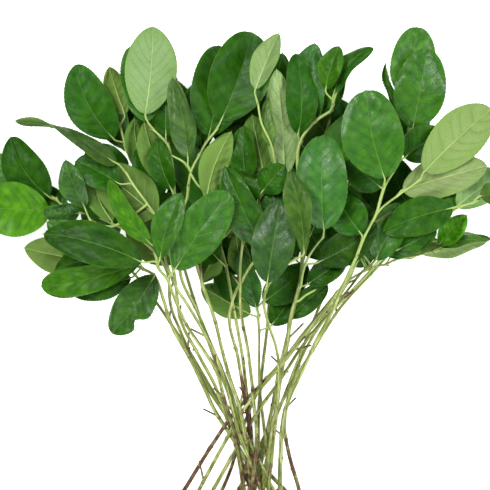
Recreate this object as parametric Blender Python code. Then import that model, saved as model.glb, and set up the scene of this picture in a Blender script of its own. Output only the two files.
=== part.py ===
"""A bunch of salal sprigs, cut and laid down: leafy stems that fan out from a loose waist.

The layout is a sheet that the bunch lies on, in millimetres: x to the right, y down from
the leafy end to the cut ends, heights above the sheet up towards the viewer.
"""

import math
import random

import bpy
import numpy as np
from mathutils.bvhtree import BVHTree

MM = 0.001
UP = np.array([0.0, 0.0, 1.0])
TINY = 1e-9

# Stems
SIDES = 5
CUT_RADIUS = 2.1
TIP_RADIUS = 1.2
TWIG_GIRTH = (0.9, 0.75)
FLAT_SHARE = math.cos(math.pi / SIDES)
RISE_Y = 545.0
LEAFY_Y = 285.0
ROOTING_Y = 370.0
REST_HEIGHT = 2.0
STEM_GAP = 0.9
STEP = 2.0
CURVE_STEPS = 24
BUMP_SLOPE = 0.42
BUMP_REACH = 6.0
TOLERANCE = 0.9
FAR_BELOW = -1000.0

# Leaves
STATIONS = (0.0, 0.12, 0.46, 0.84, 0.985)
WIDEST = (0.42, 0.50)
BASE_ROUND = 0.54
TIP_ROUND = (0.48, 0.62)
THICK = 0.8
RIB = 0.5
PETIOLE = 9.0
PETIOLE_MOST = 15.0
PETIOLE_HALF = 0.95
PETIOLE_THICK = 1.7
PETIOLE_SECTION = ((1, 0.3), (0, 1), (-1, 0.3), (-1, -0.3), (0, -1), (1, -0.3))
RING = len(PETIOLE_SECTION)
TIP_HALF = 0.5
ARCH = (0.03, 0.12)
FOLD = (0.06, 0.36)
BEND = (-0.045, 0.045)
WAVE = (1.2, 3.6)
WAVES = 7.5
HABIT_SEED = (31, 17)
LIFT = 4.0
GROW = 0.5
FLOOR_GAP = 0.02
DRAWN_MOST = 1400
SIDEWAYS = 12
UP_COST = 2.5
LOWER_STEP = 1.5
LOWER_TRIES = 24

# Leaves that fill the bunch from behind, in the order that they grow
FILL_SPACING = 26.0
HEADING_STEPS = 4
FILL_TRIES = 60
FILL_MOST = 14
FILL_LENGTHS = (66, 98)
FILL_SLIMNESS = (0.55, 0.64)
FILL_ANGLES = (15, 75)
FILL_ROLLS = (-25, 25)
FILL_PITCHES = (-12, 12)
FILL_TURNED = 0.25
FILL_LOOKS = ("dark", "dark", "mid")
FILL_MARGIN = 4.0
FILL_FLANKS = ((0.25, 0.24), (0.5, 0.3), (0.8, 0.22))
FILL_SEED = 20

LOOKS = {
    "stem": (0.33, 0.42, 0.12),
    "dark": (0.030, 0.120, 0.020),
    "mid": (0.050, 0.190, 0.022),
    "bright": (0.090, 0.270, 0.030),
    "blue": (0.055, 0.170, 0.060),
    "olive": (0.120, 0.210, 0.040),
    "light": (0.220, 0.360, 0.090),
    "pale": (0.320, 0.480, 0.150),
}
ROUGHNESS = 0.45

# The crown's outline on the sheet, which no filling leaf's tip or flank passes
CROWN = (
    (6, 150), (14, 138), (30, 146), (50, 190), (66, 172), (100, 152), (72, 120), (68, 84),
    (76, 68), (108, 90), (122, 66), (132, 44), (154, 30), (170, 50), (176, 62), (192, 72),
    (206, 54), (222, 46), (250, 36), (278, 40), (286, 56), (306, 46), (338, 50), (372, 52),
    (342, 84), (340, 98), (352, 94), (372, 93), (390, 102), (397, 60), (400, 40), (416, 28),
    (440, 44), (444, 100), (470, 106), (489, 108), (489, 200), (456, 210), (434, 224),
    (416, 248), (378, 256), (352, 238), (334, 276), (302, 316), (262, 320), (226, 310),
    (204, 288), (196, 262), (160, 262), (150, 282), (124, 298), (72, 296), (44, 290),
    (56, 270), (22, 250), (4, 228),
)

# How thick a sprig's stem is against the others'
GIRTHS = {
    "sprig_crown_right": 1.2, "sprig_left_gloss": 1.08, "sprig_round_right": 1.08,
    "sprig_pale_top": 0.98, "sprig_dark_top": 1.0, "sprig_left_low": 1.05,
    "sprig_pale_centre": 0.86, "sprig_right_low": 0.76, "sprig_right_pale": 0.84,
    "sprig_left_edge": 0.9, "sprig_centre_low": 0.82, "sprig_right_outer": 0.88,
}
OTHER_GIRTH = 0.92

# The sprigs at the back, which filling leaves grow on
FILLED = (
    "sprig_back_centre", "sprig_back_left", "sprig_back_right", "sprig_back_far_left",
    "sprig_back_far_right", "sprig_back_upper", "sprig_back_right_upper",
)

# Each sprig: its heights at the start and the end of its leafy part, its stem from the cut
# end, its twigs with the height of their ends, and its leaves. A leaf is its base, its tip,
# its width, its roll (0 shows the upper face, 180 the underside), its pitch, its look and
# what else it departs in.
SPRIGS = {
    "sprig_back_centre": (
        10, 10,
        [(266, 620), (265, 560), (262, 500), (258, 440), (262, 380), (268, 320), (272, 260),
         (270, 200), (268, 140), (272, 100)],
        [],
        [((273, 104), (283, 51), 30, 0, 10, "dark")],
    ),
    "sprig_back_left": (
        11, 14,
        [(334, 586), (302, 540), (270, 490), (244, 440), (226, 390), (206, 340), (190, 290),
         (168, 230), (140, 180), (118, 130)],
        [],
        [((128, 152), (132, 100), 32, 0, 10, "dark")],
    ),
    "sprig_back_right": (
        12, 16,
        [(202, 604), (226, 550), (252, 490), (270, 440), (288, 390), (308, 340), (326, 290),
         (342, 230), (352, 170), (358, 128)],
        [],
        [((350, 152), (338, 98), 32, -20, 20, "dark"),
         ((349, 170), (334, 128), 24, 30, 24, "blue")],
    ),
    "sprig_back_far_left": (
        13, 16,
        [(344, 566), (308, 520), (264, 470), (237, 436), (214, 396), (186, 350), (160, 310),
         (126, 268), (86, 232), (52, 206)],
        [], [],
    ),
    "sprig_back_far_right": (
        14, 18,
        [(192, 592), (216, 540), (246, 480), (268, 432), (290, 392), (316, 348), (346, 304),
         (384, 262), (420, 224), (448, 186)],
        [],
        [((414, 214), (392, 156), 38, 0, 12, "dark")],
    ),
    "sprig_back_upper": (
        34, 44,
        [(236, 612), (243, 550), (250, 490), (251, 436), (245, 380), (236, 320), (224, 260),
         (212, 210), (206, 150), (204, 110)],
        [],
        [((218, 250), (204, 284), 24, 165, -6, "light"),
         ((205, 196), (186, 148), 32, 0, 0, "dark")],
    ),
    "sprig_back_right_upper": (
        34, 44,
        [(211, 608), (234, 550), (255, 490), (267, 436), (278, 380), (291, 320), (304, 260),
         (314, 200), (322, 150), (330, 120)],
        [], [],
    ),
    "sprig_right_low": (
        24, 30,
        [(182, 584), (206, 530), (228, 480), (243, 430), (258, 395), (275, 372), (298, 342),
         (318, 318), (345, 285), (372, 269), (388, 264), (402, 259), (425, 254), (442, 250)],
        [],
        [((441, 244), (468, 215), 24, 12, 8, "bright", {"round": 0.62}),
         ((443, 247), (494, 239), 15, 40, 4, "mid"),
         ((424, 253), (490, 247), 30, 140, -2, "pale"),
         ((404, 257), (440, 242), 22, 150, 0, "pale"),
         ((394, 256), (444, 246), 16, 50, -2, "olive")],
    ),
    "sprig_left_edge": (
        28, 34,
        [(321, 594), (295, 540), (262, 480), (234, 432), (204, 385), (185, 345), (171, 310),
         (166, 272), (146, 245), (116, 225), (80, 211), (62, 205), (50, 196), (42, 190)],
        [],
        [((47, 196), (9, 137), 42, 8, 6, "dark", {"wave": 3.6, "round": 0.5, "bend": 0.08}),
         ((14, 182), (-22, 158), 34, -10, -8, "mid"),
         ((46, 213), (-22, 203), 56, 12, -6, "bright", {"wave": 4.2, "round": 0.44}),
         ((64, 216), (36, 186), 30, 0, -4, "dark"),
         ((36, 192), (-20, 190), 46, -15, -14, "bright"),
         ((78, 213), (42, 212), 26, 30, 10, "blue"),
         ((76, 211), (56, 204), 12, -50, 12, "pale"),
         ((104, 216), (66, 190), 30, 10, -4, "dark")],
    ),
    "sprig_back_crown_left": (
        36, 46,
        [(287, 606), (272, 550), (250, 490), (231, 434), (216, 390), (198, 357), (181, 322),
         (174, 280), (166, 240), (152, 206), (138, 176), (126, 146), (118, 122)],
        [],
        [((124, 114), (109, 67), 26, 164, 12, "light"),
         ((113, 138), (75, 65), 47, -8, 8, "dark", {"round": 0.52, "bend": 0.09}),
         ((124, 148), (102, 86), 36, 24, 2, "blue"),
         ((143, 172), (134, 118), 24, 160, 6, "olive"),
         ((128, 166), (84, 150), 34, 10, -8, "dark"),
         ((156, 204), (128, 152), 34, -20, 0, "dark")],
    ),
    "sprig_centre_low": (
        30, 36,
        [(280, 610), (276, 550), (270, 490), (264, 430), (260, 385), (259, 340), (258, 312),
         (252, 290), (246, 270)],
        [],
        [((256, 308), (252, 248), 26, 32, 6, "blue"),
         ((245, 276), (236, 234), 24, 165, 8, "olive"),
         ((264, 302), (305, 262), 34, -6, 4, "dark"),
         ((250, 315), (201, 287), 31, 165, 0, "olive"),
         ((244, 300), (212, 276), 26, 15, 6, "dark"),
         ((272, 326), (300, 284), 30, 10, 2, "dark")],
    ),
    "sprig_right_inner": (
        48, 58,
        [(314, 566), (305, 520), (298, 486), (289, 455), (285, 430), (290, 395), (301, 360),
         (318, 330), (335, 308), (350, 288), (362, 272), (374, 262), (384, 246)],
        [],
        [((376, 260), (400, 203), 34, 20, 6, "blue", {"round": 0.46}),
         ((388, 256), (418, 228), 28, -10, 4, "mid"),
         ((402, 250), (436, 230), 24, 10, 2, "dark"),
         ((361, 250), (343, 204), 38, -10, 2, "dark"),
         ((360, 250), (370, 210), 28, 4, 8, "dark")],
    ),
    "sprig_right_outer": (
        54, 62,
        [(170, 570), (194, 526), (217, 486), (234, 456), (248, 430), (263, 405), (283, 378),
         (302, 347), (320, 324), (344, 300), (362, 280), (377, 263), (390, 248), (403, 233),
         (416, 226), (434, 220), (456, 209), (478, 200)],
        [],
        [((457, 206), (508, 172), 36, 160, 2, "pale"),
         ((480, 196), (508, 190), 24, 20, -4, "olive"),
         ((452, 208), (380, 219), 38, -6, 4, "dark"),
         ((426, 218), (466, 190), 34, 14, 2, "mid")],
    ),
    "sprig_left_low": (
        40, 34,
        [(306, 572), (272, 510), (243, 458), (226, 431), (214, 411), (204, 390), (190, 362),
         (173, 330), (163, 300), (153, 276), (134, 266), (106, 259), (84, 256)],
        [],
        [((154, 276), (111, 334), 39, -6, -6, "mid",
          {"round": 0.46, "bite": (1, 0.66, 0.5, 0.09)}),
         ((138, 264), (40, 287), 31, 8, -4, "bright", {"wave": 3.4, "round": 0.42, "widest": 0.72}),
         ((130, 278), (67, 290), 30, 10, -10, "dark", {"round": 0.48}),
         ((98, 259), (53, 270), 28, -18, -8, "dark", {"round": 0.64}),
         ((86, 261), (22, 248), 38, 172, -2, "light", {"round": 0.6}),
         ((104, 252), (46, 222), 30, 4, 2, "mid")],
    ),
    "sprig_crown_right": (
        56, 72,
        [(252, 618), (257, 550), (264, 485), (272, 435), (277, 410), (280, 385), (285, 355),
         (291, 320), (299, 285), (302, 262), (302, 230), (300, 190), (297, 160), (300, 141),
         (311, 126), (318, 119), (330, 112)],
        [(92, [(300, 288), (303, 272), (309, 256), (317, 243), (323, 236)]),
         (80, [(330, 112), (333, 103), (336, 94)]),
         (64, [(298, 302), (306, 295), (315, 290)])],
        [((298, 134), (289, 55), 34, -10, 0, "dark", {"round": 0.5}),
         ((315, 118), (314, 44), 37, 6, 4, "blue", {"bend": 0.10}),
         ((325, 90), (338, 48), 24, 14, 6, "bright"),
         ((320, 114), (342, 66), 26, 12, 6, "dark"),
         ((333, 96), (372, 49), 21, 26, 2, "dark", {"bend": 0.12}),
         ((323, 230), (322, 137), 52, 6, 2, "blue", {"round": 0.42, "bend": 0.01}),
         ((318, 262), (376, 224), 35, -10, 0, "dark", {"round": 0.52}),
         ((308, 284), (347, 256), 26, 8, -4, "dark"),
         ((291, 318), (325, 282), 24, -12, -4, "dark", {"round": 0.56, "bend": 0.06}),
         ((306, 196), (332, 146), 32, 6, -4, "dark")],
    ),
    "sprig_right_upper": (
        58, 70,
        [(146, 552), (166, 520), (188, 486), (213, 446), (228, 422), (245, 402), (265, 382),
         (285, 358), (306, 334), (330, 309), (346, 284), (360, 254), (371, 226), (380, 202),
         (386, 184), (395, 168), (403, 148), (408, 132), (411, 119)],
        [],
        [((412, 129), (426, 50), 51, 4, 4, "mid", {"round": 0.44, "bend": -0.01}),
         ((413, 108), (417, 27), 47, -4, -10, "mid", {"round": 0.44}),
         ((397, 112), (389, 63), 9, 40, 0, "dark"),
         ((403, 136), (400, 94), 26, 30, 2, "blue"),
         ((381, 188), (346, 162), 36, -6, 0, "dark"),
         ((404, 158), (440, 128), 36, 10, 0, "dark")],
    ),
    "sprig_centre_upper": (
        66, 84,
        [(219, 596), (231, 545), (243, 490), (249, 440), (245, 400), (238, 360), (230, 325),
         (234, 296), (248, 270), (262, 252), (267, 238), (262, 214), (254, 184)],
        [],
        [((260, 246), (225, 168), 38, 22, 6, "mid", {"round": 0.52}),
         ((266, 234), (265, 184), 20, 155, 6, "pale", {"round": 0.5, "widest": 0.7}),
         ((272, 222), (278, 180), 26, 24, 6, "blue"),
         ((260, 238), (252, 186), 28, -44, 4, "dark"),
         ((246, 182), (234, 128), 30, 12, 4, "dark"),
         ((263, 172), (247, 117), 32, 165, 4, "olive")],
    ),
    "sprig_right_pale": (
        66, 78,
        [(158, 566), (180, 528), (203, 486), (222, 448), (240, 416), (259, 392), (281, 366),
         (301, 340), (322, 314), (341, 288), (357, 260), (370, 232), (378, 212), (396, 196),
         (410, 187), (420, 180)],
        [],
        [((423, 172), (489, 110), 50, 172, 4, "pale", {"round": 0.44, "widest": 0.54}),
         ((402, 190), (486, 166), 42, 166, -5, "pale", {"round": 0.5})],
    ),
    "sprig_pale_top": (
        62, 80,
        [(327, 600), (302, 550), (272, 490), (245, 434), (230, 392), (222, 372), (210, 343),
         (197, 310), (182, 280), (178, 250), (176, 220), (175, 194), (174, 175), (171, 156),
         (168, 146), (161, 137), (152, 128)],
        [],
        [((146, 115), (154, 29), 52, 178, 6, "pale", {"round": 0.56, "widest": 0.52, "bend": 0.02}),
         ((148, 122), (131, 46), 38, -10, -12, "mid", {"round": 0.5, "bend": 0, "arch": 0.04}),
         ((166, 138), (171, 61), 31, 4, -8, "dark"),
         ((166, 182), (150, 122), 28, 160, 4, "olive"),
         ((172, 190), (162, 138), 26, 4, -4, "dark")],
    ),
    "sprig_dark_top": (
        68, 84,
        [(244, 624), (249, 560), (250, 490), (246, 440), (239, 408), (232, 385), (222, 350),
         (213, 315), (200, 275), (190, 245), (184, 213), (188, 197), (191, 174), (198, 158),
         (208, 142), (218, 128)],
        [(78, [(191, 172), (184, 163), (172, 156)]),
         (82, [(191, 174), (196, 182), (202, 189)])],
        [((221, 122), (252, 34), 60, -6, 1, "dark", {"round": 0.42, "bend": -0.02}),
         ((209, 137), (219, 46), 54, -8, -6, "dark", {"round": 0.46, "bend": -0.02}),
         ((188, 158), (173, 80), 28, 24, 4, "light", {"fold": 0.42, "round": 0.56, "bend": -0.08}),
         ((202, 150), (192, 82), 38, 10, -8, "dark"),
         ((207, 197), (231, 133), 30, 160, 2, "light", {"round": 0.62, "bend": -0.03})],
    ),
    "sprig_left_twisted": (
        80, 86,
        [(299, 604), (280, 545), (258, 485), (240, 435), (229, 398), (218, 362), (206, 335),
         (190, 308), (175, 285), (167, 262), (165, 240), (160, 224), (150, 207), (138, 190),
         (125, 171)],
        [(78, [(148, 205), (130, 218), (112, 227), (92, 221)])],
        [((156, 216), (96, 168), 54, 168, 6, "olive", {"round": 0.54}),
         ((118, 164), (18, 122), 40, -30, 2, "olive", {"twist": -96, "round": 0.62, "fold": 0.05}),
         ((84, 204), (67, 161), 28, 24, 8, "blue", {"round": 0.62}),
         ((113, 222), (92, 166), 24, 155, 8, "olive"),
         ((138, 240), (111, 181), 24, 30, 12, "bright"),
         ((120, 184), (77, 162), 36, -4, -4, "dark", {"round": 0.46})],
    ),
    "sprig_left_gloss": (
        88, 98,
        [(259, 600), (252, 545), (243, 485), (234, 435), (226, 405), (217, 374), (205, 352),
         (189, 327), (176, 300), (168, 280), (160, 268), (156, 254)],
        [],
        [((176, 269), (229, 193), 46, -6, 4, "mid", {"round": 0.44, "widest": 0.5}),
         ((161, 258), (182, 194), 30, 20, 6, "mid"),
         ((136, 262), (46, 234), 42, -12, -6, "dark", {"round": 0.52})],
    ),
    "sprig_round_right": (
        78, 92,
        [(293, 606), (287, 556), (281, 490), (281, 450), (284, 420), (291, 396), (300, 376),
         (315, 342), (331, 313), (346, 278), (358, 250), (367, 230), (375, 214), (379, 198),
         (383, 184)],
        [],
        [((383, 179), (364, 93), 61, 4, 4, "mid", {"round": 0.40, "widest": 0.46}),
         ((360, 234), (335, 196), 38, 0, -6, "dark")],
    ),
    "sprig_pale_centre": (
        44, 98,
        [(228, 600), (240, 540), (252, 485), (257, 438), (253, 400), (248, 350), (241, 310),
         (240, 272), (244, 240), (252, 212), (266, 190), (276, 174), (274, 157), (270, 142),
         (261, 124), (257, 104)],
        [],
        [((255, 91), (278, 37), 29, 146, 10, "pale", {"round": 0.62, "bend": 0.03}),
         ((284, 178), (276, 71), 38, 152, 5, "pale", {"bend": 0.05, "round": 0.6}),
         ((272, 148), (264, 100), 16, 30, 2, "light"),
         ((262, 192), (284, 166), 30, 0, 14, "dark"),
         ((256, 206), (240, 168), 30, 10, -4, "dark")],
    ),
    "sprig_centre_top": (
        92, 104,
        [(273, 588), (272, 530), (269, 490), (272, 455), (277, 415), (279, 380), (276, 348),
         (268, 322), (264, 300), (268, 284), (282, 268), (297, 258)],
        [],
        [((303, 252), (289, 172), 27, 30, 4, "olive", {"bend": -0.08, "round": 0.6, "widest": 0.66}),
         ((267, 282), (287, 204), 43, 8, 2, "blue", {"round": 0.48, "bend": 0, "arch": 0.05})],
    ),
}


def unit(vector):
    return vector / max(np.linalg.norm(vector), TINY)


def on_sheet(points):
    """Sheet places as x to the right and y towards the leafy end."""
    places = np.array(points, float)
    places[:, 1] *= -1
    return places


def smooth_path(points):
    """A smooth curve through the points, read every STEP millimetres."""
    points = on_sheet(points)
    padded = np.vstack([2 * points[0] - points[1], points, 2 * points[-1] - points[-2]])
    fine = []
    for a, b, c, d in zip(padded, padded[1:], padded[2:], padded[3:]):
        for t in np.linspace(0, 1, CURVE_STEPS, endpoint=False):
            fine.append(
                0.5 * (2 * b + (c - a) * t + (2 * a - 5 * b + 4 * c - d) * t**2
                       + (3 * b - a - 3 * c + d) * t**3)
            )
    fine.append(points[-1])
    fine = np.array(fine)
    along = np.concatenate([[0], np.cumsum(np.linalg.norm(np.diff(fine, axis=0), axis=1))])
    steps = np.linspace(0, along[-1], max(3, int(along[-1] / STEP)))
    return np.column_stack([np.interp(steps, along, fine[:, i]) for i in (0, 1)]), steps


def eased(x):
    x = np.clip(x, 0, 1)
    return x * x * (3 - 2 * x)


def needed_height(path, radius, laid):
    """For each step of the path, the height that clears every stem laid before it."""
    need = np.full(len(path), FAR_BELOW)
    for other in laid:
        apart = np.linalg.norm(path[:, None] - other["points"][None, :, :2], axis=2)
        reach = radius[:, None] + other["radius"][None] + STEM_GAP
        over = np.sqrt(np.clip(reach**2 - apart**2, 0, None))
        height = np.where(apart < reach, other["points"][None, :, 2] + over, FAR_BELOW)
        need = np.maximum(need, height.max(axis=1))
    return need


def raised(wish, need, steps):
    """The wished heights, lifted over what is needed in long low humps."""
    apart = np.abs(steps[:, None] - steps[None])
    humps = need[None] - BUMP_SLOPE * np.clip(apart - BUMP_REACH, 0, None)
    heights = np.maximum(wish, humps.max(axis=1))
    near = apart <= BUMP_REACH
    smooth = (near * heights[None]).sum(axis=1) / near.sum(axis=1)
    return np.maximum(smooth, wish)


def main_stem(heights, girth, points, laid):
    path, steps = smooth_path(points)
    radius = girth * np.interp(steps, [0, steps[-1]], [CUT_RADIUS, TIP_RADIUS])
    rest = radius * FLAT_SHARE
    start = steps[np.argmax(path[:, 1] > -RISE_Y)]
    leafy = steps[np.argmax(path[:, 1] > -LEAFY_Y)]
    rise = eased((steps - start) / (leafy - start))
    beyond = np.clip((steps - leafy) / (steps[-1] - leafy), 0, 1)
    wish = rest + rise * (heights[0] - REST_HEIGHT) + beyond * (heights[1] - heights[0])
    height = raised(wish, needed_height(path, radius, laid), steps)
    level_end = int(np.argmax(steps >= start))
    return {"points": np.column_stack([path, height]), "radius": radius, "level_end": level_end}


def twig(end_height, points, stem):
    """A side shoot that starts on the stem's axis."""
    path, steps = smooth_path(points)
    start = nearest(stem["points"], path[0])
    path[0] = start[:2]
    radius = TIP_RADIUS * np.interp(steps, [0, steps[-1]], TWIG_GIRTH)
    wish = np.interp(steps, [0, steps[-1]], [start[2], end_height])
    return {"points": np.column_stack([path, wish]), "radius": radius, "level_end": 0}


def nearest(points, place):
    return points[np.argmin(np.linalg.norm(points[:, :2] - place, axis=1))]


def thinned(points):
    """The indices that keep the curve within TOLERANCE."""
    keep = {0, len(points) - 1}
    spans = [(0, len(points) - 1)]
    while spans:
        a, b = spans.pop()
        if b - a < 2:
            continue
        chord = points[b] - points[a]
        inner = points[a + 1 : b] - points[a]
        share = np.clip(inner @ chord / max(chord @ chord, TINY), 0, 1)
        off = np.linalg.norm(inner - share[:, None] * chord, axis=1)
        worst = int(np.argmax(off))
        if off[worst] > TOLERANCE:
            middle = a + 1 + worst
            keep.add(middle)
            spans += [(a, middle), (middle, b)]
    return sorted(keep)


def tube(stem):
    """The closed tube of a stem, with a flat side down."""
    kept = sorted({stem["level_end"], *thinned(stem["points"])})
    points, radius = stem["points"][kept], stem["radius"][kept]
    verts, faces = [], []
    for i, (point, size) in enumerate(zip(points, radius)):
        along = points[min(i + 1, len(points) - 1)] - points[max(i - 1, 0)]
        side = unit(np.cross(UP, along))
        for k in range(SIDES):
            angle = math.pi / 2 + 2 * math.pi * k / SIDES
            verts.append(point + size * (math.cos(angle) * side + math.sin(angle) * UP))
    for i in range(len(points) - 1):
        for k in range(SIDES):
            a, b = i * SIDES + k, i * SIDES + (k + 1) % SIDES
            faces += [(a, b, b + SIDES), (a, b + SIDES, a + SIDES)]
    last = (len(points) - 1) * SIDES
    for k in range(1, SIDES - 1):
        faces += [(0, k + 1, k), (last, last + k, last + k + 1)]
    return outward(np.array(verts), faces)


def outward(verts, faces):
    """The faces, turned round where they point inwards."""
    corners = verts[np.array(faces)]
    volume = np.einsum("ij,ij->", corners[:, 0], np.cross(corners[:, 1], corners[:, 2]))
    if volume < 0:
        faces = [face[::-1] for face in faces]
    return verts, faces


def breadth(leaf, t, across):
    """Half the blade's width at t from base to tip, as a share of the widest."""
    widest = leaf["widest"]
    lower = np.sin(math.pi / 2 * np.clip(t / widest, 0, 1)) ** BASE_ROUND
    upper = np.cos(math.pi / 2 * np.clip((t - widest) / (1 - widest), 0, 1)) ** leaf["round"]
    share = np.where(t < widest, lower, upper)
    side, place, depth, reach = leaf["bite"]
    return share * (1 - depth * (across * side > 0) * np.exp(-(((t - place) / reach) ** 2)))


def leaf_frame(leaf, t=0.0):
    """The blade's axis, and its side and its upper normal at t."""
    axis = unit(leaf["tip"] - leaf["base"])
    level = unit(np.cross(UP, axis))
    roll = (leaf["roll"] + leaf["twist"] * np.asarray(t))[..., None]
    normal = np.cos(roll) * np.cross(axis, level) + np.sin(roll) * level
    return axis, np.cross(normal, axis), normal


def blade_places(leaf, t, across):
    """Places on the blade's upper face: t from base to tip, across from -1 to 1."""
    axis, side, normal = leaf_frame(leaf, t)
    length = np.linalg.norm(leaf["tip"] - leaf["base"])
    bow = 4 * t * (1 - t)
    out = across * np.maximum(leaf["width"] / 2 * breadth(leaf, t, across), TIP_HALF)
    height = leaf["arch"] * length * bow + leaf["fold"] * np.abs(out)
    ripple = np.sin(leaf["phase"] + WAVES * t * across)
    height = height + leaf["wave"] * np.abs(across) * ripple * bow
    sideways = out + leaf["bend"] * length * bow
    return (
        leaf["base"]
        + (length * t + 0 * out)[..., None] * axis
        + sideways[..., None] * side
        + height[..., None] * normal
    )


BLADE_T = np.array(STATIONS)[:, None]
BLADE_ACROSS = np.array([1.0, 0.0, -1.0])[None]


def leaf_faces(rings):
    """The triangles of a loft of six-point sections, alike on its two faces."""
    faces = []
    for i in range(rings - 1):
        a, b = i * RING, (i + 1) * RING
        faces += [(a, a + 1, b + 1), (a, b + 1, b), (a + 1, a + 2, b + 1), (a + 2, b + 2, b + 1)]
        faces += [(a + 4, a + 5, b + 4), (a + 5, b + 5, b + 4)]
        faces += [(a + 3, a + 4, b + 4), (a + 3, b + 4, b + 3)]
        faces += [(a + 2, a + 3, b + 3), (a + 2, b + 3, b + 2), (a + 5, a, b), (a + 5, b, b + 5)]
    last = (rings - 1) * RING
    for j, k, m in ((0, 5, 1), (1, 5, 4), (1, 4, 2), (2, 4, 3)):
        faces += [(j, k, m), (last + j, last + m, last + k)]
    return faces


# A leaf's first two sections are its petiole's, and all the others its blade's
LEAF_FACES = leaf_faces(len(STATIONS) + 1)
BLADE_FACES = [face for face in LEAF_FACES if min(face) >= 2 * RING]


def leaf_points(leaf, grow=0.0):
    """The corners of the leaf: its petiole from inside the stem, then its blade."""
    axis, side, normal = leaf_frame(leaf, BLADE_T)
    top = blade_places(leaf, BLADE_T, BLADE_ACROSS)
    top[:, 0] += side[:, 0] * grow
    top[:, 2] -= side[:, 0] * grow
    top += normal * grow
    thick = THICK * math.sqrt(1 + leaf["fold"] ** 2) + 2 * grow
    drop = np.repeat(thick, len(STATIONS))[:, None] + np.array([0, 1, 0]) * RIB * (1 - BLADE_T)
    below = top - drop[..., None] * normal
    sections = np.concatenate([top, below[:, ::-1]], axis=1)
    slope = unit(leaf["base"] - leaf["root"])
    flat = unit(side[0, 0] - slope * (side[0, 0] @ slope))
    up = np.cross(slope, flat)
    half, thick = PETIOLE_HALF + grow, PETIOLE_THICK / 2 + grow
    section = np.array([flat * half * x + up * thick * y for x, y in PETIOLE_SECTION])
    root = leaf["root"] + section
    points = np.vstack([root[None], sections]).reshape(-1, 3)
    points[-RING:] += axis * grow
    return points


def tree_of(points, faces):
    return BVHTree.FromPolygons(points.tolist(), faces)


class Heap:
    """What has been placed so far, as trees that can be tested for crossing."""

    def __init__(self):
        self.stems, self.leaves = [], []

    def add_stem(self, owner, points, faces):
        self.stems.append((owner, points.min(axis=0), points.max(axis=0), tree_of(points, faces)))

    def add_leaf(self, owner, leaf):
        points = leaf_points(leaf)
        trees = tree_of(points, LEAF_FACES), tree_of(points, BLADE_FACES)
        self.leaves.append((owner, points.min(axis=0), points.max(axis=0), trees))

    def free(self, owner, leaf):
        """Whether the leaf crosses nothing but, by its petiole, its own sprig's wood."""
        points = leaf_points(leaf, GROW)
        low, high = points.min(axis=0), points.max(axis=0)
        if low[2] < FLOOR_GAP:
            return False
        whole, blade = tree_of(points, LEAF_FACES), tree_of(points, BLADE_FACES)
        for other, other_low, other_high, tree in self.stems:
            if (low > other_high).any() or (high < other_low).any():
                continue
            if (blade if other == owner else whole).overlap(tree):
                return False
        for other, other_low, other_high, (other_whole, other_blade) in self.leaves:
            if (low > other_high).any() or (high < other_low).any():
                continue
            if blade.overlap(other_whole) or whole.overlap(other_blade):
                return False
            if other != owner and whole.overlap(other_whole):
                return False
        return True


def effort(value, scale):
    """How much a change costs. Leaves are set from the top down, so going up costs more."""
    rising = UP_COST if value > 0 and scale < SIDEWAYS else 1
    return (rising * value / scale) ** 2


def spreads(*ranges):
    """Changes to try, those that change least first."""
    tries = [()]
    for scale, values in ranges:
        tries = [done + ((value, scale),) for done in tries for value in values]
    tries.sort(key=lambda changes: sum(effort(value, scale) for value, scale in changes))
    return [tuple(value for value, _ in changes) for changes in tries]


# What may be changed to set a leaf free, with the change that counts as one: its lift in
# millimetres, and its pitch, its roll and its turn on the sheet in degrees
DRAWN_TRIES = spreads(
    (7, (0, 3, -3, 6, -6, 10, -10, 14, -14, 19, -19, 25)),
    (8, (0, 5, -5, 10, -10, 16, -16, 24)),
    (SIDEWAYS, (0, 12, -12, 24, -24)),
    (SIDEWAYS, (0, 5, -5, 10, -10)),
)[:DRAWN_MOST]
FILL_CHANGES = spreads(
    (8, (0, 4, -4, 9, -9, 15)),
    (10, (0, 8, -8, 16, -16, 26, -26)),
)


def turned(way, degrees):
    """A direction on the sheet, turned to the left."""
    angle = math.radians(degrees)
    return np.array([
        way[0] * math.cos(angle) - way[1] * math.sin(angle),
        way[0] * math.sin(angle) + way[1] * math.cos(angle),
    ])


def habit(base, tip):
    """How a leaf at this place departs from a plain flat one."""
    draw = random.Random(int(base[0] * HABIT_SEED[0] + tip[1] * HABIT_SEED[1]))
    return {
        "widest": draw.uniform(*WIDEST),
        "round": draw.uniform(*TIP_ROUND),
        "arch": draw.uniform(*ARCH),
        "fold": draw.uniform(*FOLD),
        "bend": draw.uniform(*BEND),
        "wave": draw.uniform(*WAVE),
        "phase": draw.uniform(0, 2 * math.pi),
        "twist": 0,
        "bite": (1, 0, 0, 1),
    }


def set_leaf(sprig, base, tip, width, roll, pitch, own, changes, heap):
    """The leaf, set free of all others by the first change that does it, or None."""
    base, tip = on_sheet([base, tip])
    shape = {**habit(base, tip), **own}
    shape["twist"] = math.radians(shape["twist"])
    stems = [stem["points"] for stem in sprig["stems"]]
    rooting = np.vstack([points[points[:, 1] > -ROOTING_Y] for points in stems])
    root = nearest(rooting, base - unit(tip - base) * PETIOLE)
    from_root = base - root[:2]
    base = root[:2] + unit(from_root) * min(np.linalg.norm(from_root), PETIOLE_MOST)
    for change in changes:
        lift, tilt, turn, yaw = (*change, 0, 0)[:4]
        reach = np.linalg.norm(tip - base)
        low = root[2] + LIFT + lift
        high = low + reach * math.tan(math.radians(pitch + tilt))
        leaf = {
            "root": root,
            "base": np.array([*base, low]),
            "tip": np.array([*(base + turned(tip - base, yaw)), high]),
            "width": width,
            "roll": math.radians(roll + turn),
            **shape,
        }
        if heap.free(sprig["name"], leaf):
            return leaf
    return None


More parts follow.
